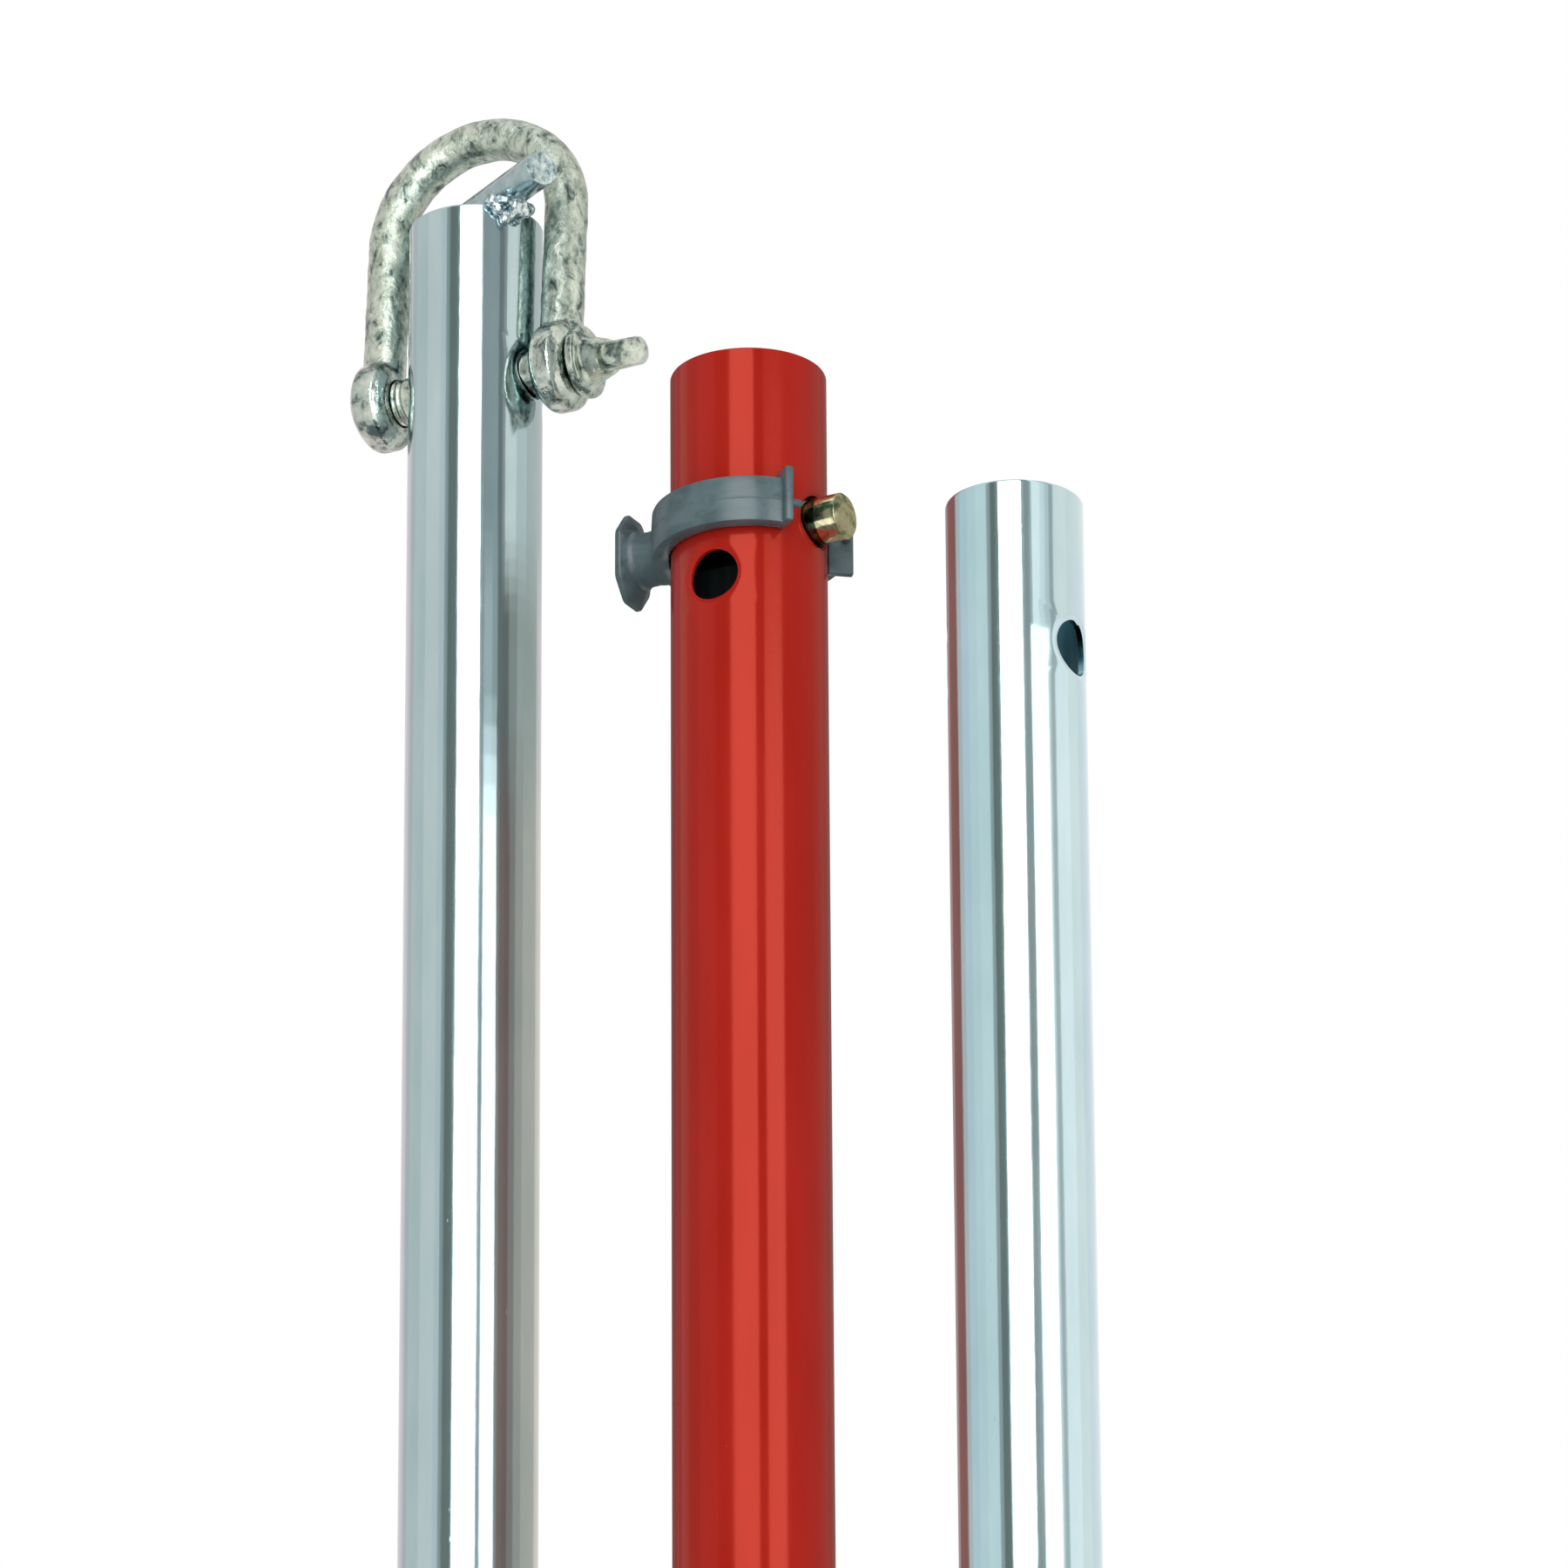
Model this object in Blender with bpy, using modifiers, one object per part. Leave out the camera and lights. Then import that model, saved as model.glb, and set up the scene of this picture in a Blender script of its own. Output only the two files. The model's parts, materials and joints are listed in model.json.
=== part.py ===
"""Tetherball pole set: three steel pole sections standing side by side.

The top section carries the rope shackle and its stop bar. The middle section is the
socket tube with two push-through lock clips. The bottom section is the ground tube.
Metres, +Z up. The sections stand on z = 0, and the origin is under the middle of the set.
"""
import math

import bmesh
import bpy
from mathutils import Euler, Matrix

# ---- Driving dimensions -------------------------------------------------------------
GAP = 0.0003                      # clearance kept between touching pieces

TOP_PLACE = (-0.0589, 0.0307)      # where each section stands
MIDDLE_PLACE = (0.0097, -0.0360)
BOTTOM_PLACE = (0.0743, -0.0239)

SLIM_RADIUS = 0.01685             # 33.7 mm galvanised tube, 2 mm wall
SLIM_WALL = 0.0020
TOP_LENGTH = 1.2000
BOTTOM_LENGTH = 1.0980
SOCKET_RADIUS = 0.0190            # 38 mm painted tube, 1.5 mm wall, slides over the slim ones
SOCKET_WALL = 0.0015
MIDDLE_LENGTH = 1.1270
RIM_CHAMFER = 0.0004

LOCK_HOLE_RADIUS = 0.0070         # cross-drilled holes in the slim tubes
LOCK_HOLE_INSET = 0.0410          # from the end of a slim tube to its lock holes
SOCKET_HOLE_RADIUS = 0.0065
PIN_INSET = 0.0420                # from the end of the socket tube to the lock pin
CROSS_INSET = 0.0590              # from the end of the socket tube to its cross holes
TOP_TURN = math.radians(-27.0)    # heading of the shackle pin
MIDDLE_TURN = math.radians(-28.0)  # heading of the lock pins
BOTTOM_TURN = math.radians(-30.0)  # heading of the bottom section's lock holes

SHACKLE_DROP = 0.0430             # from the top of the pole down to the shackle pin
SHACKLE_PIN_HOLE = 0.0066
SHACKLE_LEAN = math.radians(4.0)  # how far the bow leans back from upright
SHACKLE_SHIFT = -0.0012           # side play taken up towards the threaded ear
BOW_ROD = 0.0055
BOW_HALF_WIDTH = 0.0253           # pole axis to the centre line of a leg
BOW_ARCH_HEIGHT = 0.0457
EAR_RADIUS = 0.0114
EAR_THICKNESS = 0.0100
PIN_RADIUS = 0.0059
PIN_COLLAR_RADIUS = 0.0093
PIN_COLLAR = (0.0299, 0.0327)
EYE_RADIUS = 0.0068
EYE_THICKNESS = 0.0072
EYE_CENTRE = 0.0415
EYE_HOLE_RADIUS = 0.0032
EYE_TWIST = math.radians(27.0)    # the flat of the eye, turned about the pin

STOP_BAR_RADIUS = 0.0045
STOP_BAR_HALF_LENGTH = 0.0318
STOP_BAR_TURN = math.radians(-57.5)
WELD_SIZE = (0.0042, 0.0066, 0.0048)  # along the bar, across it, up

LOCK_PIN_RADIUS = 0.00575
LOCK_PIN_TIP = 0.0268             # from the pole axis
LOCK_PIN_ROOT = -0.0285
LOCK_PIN_BEVEL = 0.0008
CLIP_INNER = 0.0193
CLIP_OUTER = 0.0237
CLIP_HEIGHT = 0.0118
CLIP_HUB_ANGLE = math.radians(22.0)   # half of the stiff middle of the clip
CLIP_ARM_ANGLE = math.radians(141.0)  # from the tab round to the end of an arm
CLIP_FLANGE_OUTER = 0.0256
CLIP_FLANGE_THICKNESS = 0.0020
CLIP_FLANGE_STEP = 0.0024
LIP_OFFSET = 0.0001                # keeps the lip's faces off the arm's own
CLIP_NUB_RADIUS = 0.0010
CLIP_NUB_LENGTH = 0.0036
CLIP_NUB_PLACE = 0.0238            # from the pole axis
CLIP_NUB_DROP = 0.0006             # below the middle of the arm
CLIP_NECK_RADIUS = 0.0067
TAB_PLACE = 0.0315
TAB_THICKNESS = 0.0038
TAB_HALF_HEIGHT = 0.0118
TAB_HALF_WIDTH = 0.0076

PLUG_FLANGE = 0.0030
PLUG_DEPTH = 0.0180

TUBE_STEPS = 56
ROD_STEPS = 24
ARC_STEP = math.radians(6.0)           # between points on the clip outlines


# ---- Scene, materials and small helpers ---------------------------------------------
def clear_scene():
    for obj in list(bpy.data.objects):
        bpy.data.objects.remove(obj, do_unlink=True)


def new_collection(name):
    collection = bpy.data.collections.new(name)
    bpy.context.scene.collection.children.link(collection)
    return collection


def new_material(name, colour, roughness, metallic):
    material = bpy.data.materials.new(name)
    material.use_nodes = True
    shader = material.node_tree.nodes["Principled BSDF"]
    shader.inputs["Base Color"].default_value = (*colour, 1.0)
    shader.inputs["Roughness"].default_value = roughness
    shader.inputs["Metallic"].default_value = metallic
    return material


def empty(name, parent=None, place=(0, 0, 0), turn=(0, 0, 0)):
    obj = bpy.data.objects.new(name, None)
    PARTS.objects.link(obj)
    obj.parent = parent
    obj.location = place
    obj.rotation_euler = turn
    return obj


def add(name, mesh, parent, place=(0, 0, 0), turn=(0, 0, 0), material=None, cutter=False):
    """Links a mesh as a named object, as a part or as a hidden cutter."""
    obj = bpy.data.objects.new(name, mesh)
    (CUTTERS if cutter else PARTS).objects.link(obj)
    obj.parent = parent
    obj.location = place
    obj.rotation_euler = turn
    if material:
        mesh.materials.append(material)
    if cutter:
        obj.hide_render = True
        obj.display_type = "WIRE"
    return obj


def smooth(obj, angle=35.0):
    obj.data.shade_smooth()
    obj.data.set_sharp_from_angle(angle=math.radians(angle))


def boolean(obj, other, operation="DIFFERENCE"):
    modifier = obj.modifiers.new("Boolean " + other.name, "BOOLEAN")
    modifier.operation = operation
    modifier.solver = "EXACT"
    modifier.object = other


def bevel(obj, width, segments=2, angle=30.0):
    modifier = obj.modifiers.new("Bevel", "BEVEL")
    modifier.width = width
    modifier.segments = segments
    modifier.limit_method = "ANGLE"
    modifier.angle_limit = math.radians(angle)


def cylinder_mesh(name, radius, length, steps=ROD_STEPS, axis="Z"):
    """A closed cylinder centred on the origin, along one axis."""
    mesh = bpy.data.meshes.new(name)
    bm = bmesh.new()
    bmesh.ops.create_cone(bm, cap_ends=True, segments=steps, radius1=radius, radius2=radius,
                          depth=length)
    mesh_from(bm, mesh)
    if axis == "X":
        mesh.transform(rotation(0, math.pi / 2, 0))
    if axis == "Y":
        mesh.transform(rotation(math.pi / 2, 0, 0))
    return mesh


def rotation(x, y, z):
    return Euler((x, y, z)).to_matrix().to_4x4()


def mesh_from(bm, mesh):
    bm.to_mesh(mesh)
    bm.free()
    return mesh


def box_mesh(name, size):
    mesh = bpy.data.meshes.new(name)
    bm = bmesh.new()
    bmesh.ops.create_cube(bm, size=1.0)
    bmesh.ops.scale(bm, vec=size, verts=bm.verts)
    return mesh_from(bm, mesh)


def turned(name, profile, parent, steps, closed=False, **place):
    """A profile of (radius, height) points, outer side first and top to bottom, turned about Z."""
    mesh = bpy.data.meshes.new(name)
    edges = [(i, i + 1) for i in range(len(profile) - 1)]
    if closed:
        edges.append((len(profile) - 1, 0))
    mesh.from_pydata([(r, 0.0, z) for r, z in profile], edges, [])
    obj = add(name, mesh, parent, **place)
    screw = obj.modifiers.new("Screw", "SCREW")
    screw.steps = steps
    screw.render_steps = steps
    screw.use_merge_vertices = True
    screw.merge_threshold = 0.00001
    screw.use_smooth_shade = True
    return obj


def extruded(name, outline, height):
    """A closed flat outline, given as (x, y) points, made into a solid centred on z = 0."""
    curve = bpy.data.curves.new(name, "CURVE")
    curve.dimensions = "2D"
    curve.fill_mode = "BOTH"
    curve.extrude = height / 2
    spline = curve.splines.new("POLY")
    spline.points.add(len(outline) - 1)
    for point, (x, y) in zip(spline.points, outline):
        point.co = (x, y, 0.0, 1.0)
    spline.use_cyclic_u = True
    return solid_from_curve(name, curve)


def solid_from_curve(name, curve):
    """The curve's evaluated mesh with its loose caps welded on."""
    source = bpy.data.objects.new(name + "_curve", curve)
    bpy.context.scene.collection.objects.link(source)
    bpy.context.view_layer.update()
    evaluated = source.evaluated_get(bpy.context.evaluated_depsgraph_get())
    mesh = bpy.data.meshes.new_from_object(evaluated)
    mesh.name = name
    bm = bmesh.new()
    bm.from_mesh(mesh)
    bmesh.ops.remove_doubles(bm, verts=bm.verts, dist=0.000001)
    bmesh.ops.recalc_face_normals(bm, faces=bm.faces)
    mesh_from(bm, mesh)
    bpy.data.objects.remove(source, do_unlink=True)
    return mesh


def arc(radius, start, end):
    """Points on an arc about the origin, ends included."""
    count = max(2, round(abs(end - start) / ARC_STEP) + 1)
    angles = [start + (end - start) * i / (count - 1) for i in range(count)]
    return [(radius * math.cos(a), radius * math.sin(a)) for a in angles]


# ---- Tubes ----------------------------------------------------------------------------
def tube(name, parent, radius, wall, low, high, material):
    inner = radius - wall
    c = RIM_CHAMFER
    profile = [
        (radius - c, high), (radius, high - c), (radius, low + c), (radius - c, low),
        (inner + c, low), (inner, low + c), (inner, high - c), (inner + c, high),
    ]
    return turned(name, profile, parent, TUBE_STEPS, closed=True, material=material)


def cross_hole(tube_object, label, radius, height, turn):
    """Drills one hole right through both walls of a tube."""
    mesh = cylinder_mesh(label, radius, 0.06, ROD_STEPS, axis="X")
    drill = add(label, mesh, tube_object.parent, (0, 0, height), (0, 0, turn), cutter=True)
    boolean(tube_object, drill)


# ---- Top section ----------------------------------------------------------------------
def build_top_section():
    section = empty("top_section", place=(*TOP_PLACE, 0))
    pole = tube("top_tube", section, SLIM_RADIUS, SLIM_WALL, 0.0, TOP_LENGTH, ZINC)
    pin_height = TOP_LENGTH - SHACKLE_DROP
    cross_hole(pole, "cut_shackle_pin", SHACKLE_PIN_HOLE, pin_height, TOP_TURN)
    cross_hole(pole, "cut_top_lock", LOCK_HOLE_RADIUS, LOCK_HOLE_INSET, TOP_TURN)
    build_stop_bar(section)
    axis = empty("shackle_axis", section, (0, 0, pin_height), (0, 0, TOP_TURN))
    build_bow(axis)
    build_shackle_pin(axis)


def build_stop_bar(section):
    height = TOP_LENGTH + GAP + STOP_BAR_RADIUS
    turn = (0, 0, STOP_BAR_TURN)
    mesh = cylinder_mesh("stop_bar", STOP_BAR_RADIUS, 2 * STOP_BAR_HALF_LENGTH, ROD_STEPS, "X")
    bar = add("stop_bar", mesh, section, (0, 0, height), turn, BAR_ZINC)
    bevel(bar, 0.0005, 1)
    smooth(bar)
    clear_bar = add("cut_weld_bar", cylinder_mesh("cut_weld_bar", STOP_BAR_RADIUS + GAP, 0.09,
                    ROD_STEPS, "X"), section, (0, 0, height), turn, cutter=True)
    clear_tube = add("cut_weld_tube", cylinder_mesh("cut_weld_tube", SLIM_RADIUS + GAP, 0.05,
                     TUBE_STEPS), section, (0, 0, TOP_LENGTH + GAP - 0.025), cutter=True)
    for name, side in (("stop_bar_weld_front", 1), ("stop_bar_weld_rear", -1)):
        reach = side * (SLIM_RADIUS + 0.0006)
        place = (reach * math.cos(STOP_BAR_TURN), reach * math.sin(STOP_BAR_TURN),
                 TOP_LENGTH + 0.0004)
        weld = add(name, bead_mesh(name), section, place, turn, WELD)
        boolean(weld, clear_bar)
        boolean(weld, clear_tube)
        smooth(weld)


def bead_mesh(name):
    """A rounded weld bead, before the bar and the tube are cut out of it."""
    mesh = bpy.data.meshes.new(name)
    bm = bmesh.new()
    bmesh.ops.create_uvsphere(bm, u_segments=16, v_segments=10, radius=1.0)
    bmesh.ops.scale(bm, vec=WELD_SIZE, verts=bm.verts)
    return mesh_from(bm, mesh)


def build_bow(axis):
    """The U of round rod, with a forged ear on each leg, leaning back on the pin."""
    curve = bpy.data.curves.new("shackle_bow", "CURVE")
    curve.dimensions = "3D"
    curve.bevel_depth = BOW_ROD
    curve.bevel_resolution = 6
    curve.use_fill_caps = True
    route = [(BOW_HALF_WIDTH, 0.0), (BOW_HALF_WIDTH, BOW_ARCH_HEIGHT / 2)]
    route += [(x, z + BOW_ARCH_HEIGHT) for x, z in bow_arch()]
    route += [(-BOW_HALF_WIDTH, BOW_ARCH_HEIGHT / 2), (-BOW_HALF_WIDTH, 0.0)]
    spline = curve.splines.new("POLY")
    spline.points.add(len(route) - 1)
    for point, (x, z) in zip(spline.points, route):
        point.co = (x, 0.0, z, 1.0)
    place = (SHACKLE_SHIFT, 0, 0)
    lean = (-SHACKLE_LEAN, 0, 0)
    bow = add("shackle_bow", solid_from_curve("shackle_bow", curve), axis, place, lean, FORGED)
    for label, side in (("join_ear_right", 1), ("join_ear_left", -1)):
        mesh = cylinder_mesh(label, EAR_RADIUS, EAR_THICKNESS, 28, "X")
        spot = (SHACKLE_SHIFT + side * BOW_HALF_WIDTH, 0, 0)
        ear = add(label, mesh, axis, spot, lean, cutter=True)
        bevel(ear, 0.0024, 2)
        boolean(bow, ear, "UNION")
    hole = cylinder_mesh("cut_ear_holes", PIN_RADIUS + GAP, 0.08, ROD_STEPS, "X")
    boolean(bow, add("cut_ear_holes", hole, axis, cutter=True))
    smooth(bow)


def bow_arch():
    count = 17
    angles = [math.pi * i / (count - 1) for i in range(count)]
    return [(BOW_HALF_WIDTH * math.cos(a), BOW_HALF_WIDTH * math.sin(a)) for a in angles]


def build_shackle_pin(axis):
    """Screw pin: shank, collar and a flattened eye. It points along the axis empty's +X."""
    end = SHACKLE_SHIFT - BOW_HALF_WIDTH - EAR_THICKNESS / 2 - 0.0004
    low, high = PIN_COLLAR
    neck = EYE_THICKNESS / 2
    profile = [
        (0.0, EYE_CENTRE - 0.0005), (neck, EYE_CENTRE - 0.0005), (0.0052, high + 0.0036),
        (0.0062, high + 0.0008), (0.0070, high), (PIN_COLLAR_RADIUS - 0.0006, high - 0.0002),
        (PIN_COLLAR_RADIUS, high - 0.0009), (PIN_COLLAR_RADIUS, low + 0.0006),
        (PIN_COLLAR_RADIUS - 0.0006, low), (PIN_RADIUS, low), (PIN_RADIUS, end + 0.0008),
        (PIN_RADIUS - 0.0008, end), (0.0, end),
    ]
    pin = turned("shackle_pin", profile, axis, ROD_STEPS, turn=(0, math.pi / 2, 0), material=PIN)
    twist = (EYE_TWIST, 0, 0)
    spot = (EYE_CENTRE, 0, 0)
    eye = add("join_eye", cylinder_mesh("join_eye", EYE_RADIUS, EYE_THICKNESS, 28), axis, spot,
              twist, cutter=True)
    bevel(eye, 0.0014, 2)
    boolean(pin, eye, "UNION")
    hole = add("cut_eye", cylinder_mesh("cut_eye", EYE_HOLE_RADIUS, 0.02, 20), axis, spot, twist,
               cutter=True)
    boolean(pin, hole)


# ---- Middle section and its two lock clips --------------------------------------------
def build_middle_section():
    section = empty("middle_section", place=(*MIDDLE_PLACE, 0))
    pole = tube("middle_tube", section, SOCKET_RADIUS, SOCKET_WALL, 0.0, MIDDLE_LENGTH, RED)
    cross_turn = MIDDLE_TURN + math.pi / 2
    ends = (("upper", MIDDLE_LENGTH, -1), ("lower", 0.0, 1))
    for label, end, inward in ends:
        pin_height = end + inward * PIN_INSET
        cross_height = end + inward * CROSS_INSET
        cross_hole(pole, f"cut_{label}_pin", SOCKET_HOLE_RADIUS, pin_height, MIDDLE_TURN)
        cross_hole(pole, f"cut_{label}_cross", SOCKET_HOLE_RADIUS, cross_height, cross_turn)
        axis = empty(f"{label}_clip_axis", section, (0, 0, pin_height), (0, 0, MIDDLE_TURN))
        build_clip(label, axis)


def build_clip(label, axis):
    """One lock: a steel pin moulded into a plastic C-clip with a pull tab, on the axis' -X side."""
    build_lock_pin(label, axis)
    build_clip_tab(label, axis)
    build_arm(f"{label}_clip_front_arm", axis, (0, 0, 0))
    build_arm(f"{label}_clip_rear_arm", axis, (math.pi, 0, 0))


def build_lock_pin(label, axis):
    b = LOCK_PIN_BEVEL
    profile = [
        (0.0, LOCK_PIN_TIP), (LOCK_PIN_RADIUS - b, LOCK_PIN_TIP),
        (LOCK_PIN_RADIUS, LOCK_PIN_TIP - b), (LOCK_PIN_RADIUS, LOCK_PIN_ROOT),
        (0.0, LOCK_PIN_ROOT),
    ]
    turned(f"{label}_lock_pin", profile, axis, ROD_STEPS, turn=(0, math.pi / 2, 0),
           material=YELLOW_ZINC)


def build_clip_tab(label, axis):
    """The stiff middle of the clip, its neck and the pull tab."""
    name = f"{label}_clip_tab"
    hub = add(name, hub_mesh(name), axis, material=GREY)
    length = TAB_PLACE - CLIP_OUTER + 0.003
    neck_mesh = cylinder_mesh(f"join_{label}_neck", CLIP_NECK_RADIUS, length, ROD_STEPS, "X")
    neck = add(f"join_{label}_neck", neck_mesh, axis, (-TAB_PLACE + length / 2, 0, 0), cutter=True)
    tab = add(f"join_{label}_tab", tab_mesh(f"join_{label}_tab"), axis, (-TAB_PLACE, 0, 0),
              cutter=True)
    bevel(tab, 0.0011, 1)
    socket_mesh = cylinder_mesh(f"cut_{label}_socket", LOCK_PIN_RADIUS + GAP, 0.05, ROD_STEPS, "X")
    socket = add(f"cut_{label}_socket", socket_mesh, axis, (LOCK_PIN_ROOT - GAP + 0.025, 0, 0),
                 cutter=True)
    boolean(hub, neck, "UNION")
    boolean(hub, tab, "UNION")
    boolean(hub, socket)


def hub_mesh(name):
    start, end = math.pi - CLIP_HUB_ANGLE, math.pi + CLIP_HUB_ANGLE
    outline = arc(CLIP_OUTER, start, end) + arc(CLIP_INNER, end, start)
    return extruded(name, outline, CLIP_HEIGHT + 0.0022)


def tab_mesh(name):
    """An eight-sided plate, tall and narrow, standing across the pin."""
    h, w = TAB_HALF_HEIGHT, TAB_HALF_WIDTH
    half = [(-h, w * 0.42), (-h * 0.52, w), (h * 0.52, w), (h, w * 0.42)]
    outline = half + [(x, -y) for x, y in reversed(half)]
    mesh = extruded(name, outline, TAB_THICKNESS)
    mesh.transform(rotation(0, math.pi / 2, 0))
    return mesh


def build_arm(name, axis, turn):
    """One springy arm with the lip and the nub at its end. The rear arm is turned half over."""
    start = math.pi + CLIP_HUB_ANGLE + GAP / CLIP_INNER
    end = math.pi + CLIP_ARM_ANGLE
    outline = arc(CLIP_INNER, start, end) + arc(CLIP_OUTER, end, start)
    arm = add(name, extruded(name, outline, CLIP_HEIGHT), axis, turn=turn, material=GREY)
    depth = CLIP_FLANGE_OUTER - CLIP_INNER - LIP_OFFSET
    reach = CLIP_FLANGE_OUTER - depth / 2
    size = (depth, CLIP_FLANGE_THICKNESS, CLIP_HEIGHT + CLIP_FLANGE_STEP + 2 * LIP_OFFSET)
    lip_place = (reach * math.cos(end), reach * math.sin(end), CLIP_FLANGE_STEP / 2)
    nub_place = (CLIP_NUB_PLACE * math.cos(end), CLIP_NUB_PLACE * math.sin(end), -CLIP_NUB_DROP)
    frame = empty(name + "_end", axis, turn=turn)
    lip = add("join_" + name + "_lip", box_mesh(name + "_lip", size), frame, lip_place,
              (0, 0, end), cutter=True)
    bevel(lip, 0.0005, 1)
    nub_mesh = cylinder_mesh(name + "_nub", CLIP_NUB_RADIUS, CLIP_NUB_LENGTH, 12, "Y")
    nub_mesh.transform(Matrix.Translation((0, CLIP_NUB_LENGTH / 2, 0)))
    nub = add("join_" + name + "_nub", nub_mesh, frame, nub_place, (0, 0, end), cutter=True)
    boolean(arm, lip, "UNION")
    boolean(arm, nub, "UNION")


# ---- Bottom section -------------------------------------------------------------------
def build_bottom_section():
    section = empty("bottom_section", place=(*BOTTOM_PLACE, 0))
    low = PLUG_FLANGE + GAP
    pole = tube("bottom_tube", section, SLIM_RADIUS, SLIM_WALL, low, BOTTOM_LENGTH, ZINC)
    height = BOTTOM_LENGTH - LOCK_HOLE_INSET
    cross_hole(pole, "cut_bottom_lock", LOCK_HOLE_RADIUS, height, BOTTOM_TURN)
    bore = SLIM_RADIUS - SLIM_WALL - GAP
    profile = [
        (0.0, PLUG_DEPTH), (bore - 0.0012, PLUG_DEPTH), (bore, PLUG_DEPTH - 0.0030),
        (bore, PLUG_FLANGE), (SLIM_RADIUS, PLUG_FLANGE), (SLIM_RADIUS, 0.0010),
        (SLIM_RADIUS - 0.0010, 0.0), (0.0, 0.0),
    ]
    turned("bottom_end_plug", profile, section, TUBE_STEPS, material=BLACK)


clear_scene()
PARTS = new_collection("Tetherball set")
CUTTERS = new_collection("Cutters")
ZINC = new_material("galvanised_steel", (0.50, 0.58, 0.62), 0.22, 1.0)
BAR_ZINC = new_material("stop_bar_zinc", (0.48, 0.56, 0.60), 0.30, 1.0)
WELD = new_material("weld_metal", (0.70, 0.74, 0.78), 0.45, 1.0)
FORGED = new_material("forged_zinc", (0.62, 0.63, 0.56), 0.45, 1.0)
PIN = new_material("shackle_pin_zinc", (0.60, 0.62, 0.56), 0.35, 1.0)
RED = new_material("red_powder_coat", (0.55, 0.025, 0.012), 0.28, 0.0)
GREY = new_material("grey_plastic", (0.14, 0.19, 0.20), 0.45, 0.0)
YELLOW_ZINC = new_material("yellow_zinc", (0.45, 0.43, 0.20), 0.30, 1.0)
BLACK = new_material("black_plastic", (0.02, 0.02, 0.02), 0.55, 0.0)
build_top_section()
build_middle_section()
build_bottom_section()
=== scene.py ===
"""Looks of the tetherball pole set: two galvanised poles, a red socket pole with its two
lock clips, and a forged shackle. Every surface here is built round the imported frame."""
import json
import math
from collections import namedtuple

import bmesh
import bpy
from mathutils import Matrix, Vector, noise


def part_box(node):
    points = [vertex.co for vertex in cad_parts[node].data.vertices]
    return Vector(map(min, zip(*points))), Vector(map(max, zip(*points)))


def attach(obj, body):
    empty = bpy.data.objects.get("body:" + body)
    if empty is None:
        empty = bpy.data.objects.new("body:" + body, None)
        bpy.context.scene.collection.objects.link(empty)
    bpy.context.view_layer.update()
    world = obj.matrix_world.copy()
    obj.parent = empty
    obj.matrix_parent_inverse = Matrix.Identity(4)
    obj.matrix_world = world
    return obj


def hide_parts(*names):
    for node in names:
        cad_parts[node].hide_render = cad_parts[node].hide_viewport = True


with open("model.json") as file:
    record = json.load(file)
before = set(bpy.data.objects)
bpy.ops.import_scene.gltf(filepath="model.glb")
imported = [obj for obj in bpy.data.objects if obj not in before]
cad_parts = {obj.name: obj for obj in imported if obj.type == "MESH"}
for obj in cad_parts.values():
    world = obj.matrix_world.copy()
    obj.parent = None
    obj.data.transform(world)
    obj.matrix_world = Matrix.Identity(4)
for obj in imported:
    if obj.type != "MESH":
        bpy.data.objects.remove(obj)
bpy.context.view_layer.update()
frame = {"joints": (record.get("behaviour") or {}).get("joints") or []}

MM = 0.001
GAP = 0.3 * MM  # clearance kept between touching pieces

# ---- Places, read from the frame ----
JOINTS = {joint["name"]: joint for joint in frame["joints"]}


def middle_of(node):
    low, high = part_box(node)
    return (low + high) / 2


def top_of(node):
    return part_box(node)[1].z


def bottom_of(node):
    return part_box(node)[0].z


def radius_of(node):
    low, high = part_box(node)
    return (high.x - low.x) / 2


def heading(axis):
    return math.atan2(axis[1], axis[0])


SHACKLE_CENTRE = Vector(JOINTS["shackle_swing"]["pos_m"])
SHACKLE_TURN = heading(JOINTS["shackle_swing"]["axis"])
CLIP_TURN = heading([-value for value in JOINTS["upper_lock_pull"]["axis"]])
CROSS_TURN = CLIP_TURN + math.pi / 2
BOTTOM_TURN = math.radians(-30.0)

# ---- Sizes of the details, the same as in the CAD ----
SLIM_WALL = 2.0 * MM
SOCKET_WALL = 1.5 * MM
RIM_ROUND = 0.45 * MM
LOCK_HOLE_RADIUS = 7.0 * MM
LOCK_HOLE_INSET = 41.0 * MM
SHACKLE_HOLE_RADIUS = 6.6 * MM
SOCKET_HOLE_RADIUS = 6.5 * MM
CROSS_INSET = 59.0 * MM

SHACKLE_LEAN = math.radians(4.0)
SHACKLE_SHIFT = -1.2 * MM
BOW_ROD = 5.5 * MM
BOW_HALF_WIDTH = 25.3 * MM
BOW_ARCH_HEIGHT = 45.7 * MM
EAR_HALF_THICKNESS = 5.0 * MM
EAR_RADIUS = 11.4 * MM
PIN_RADIUS = 5.9 * MM
COLLAR_RADIUS = 9.3 * MM
COLLAR_START = 29.9 * MM
COLLAR_END = 32.7 * MM
EYE_CENTRE = 41.5 * MM
EYE_THICKNESS = 7.2 * MM
EYE_HOLE_RADIUS = 3.2 * MM
EYE_TWIST = math.radians(27.0)

BAR_RADIUS = 4.5 * MM
BAR_HALF_LENGTH = 31.8 * MM
BAR_TURN = math.radians(-57.5)

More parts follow.
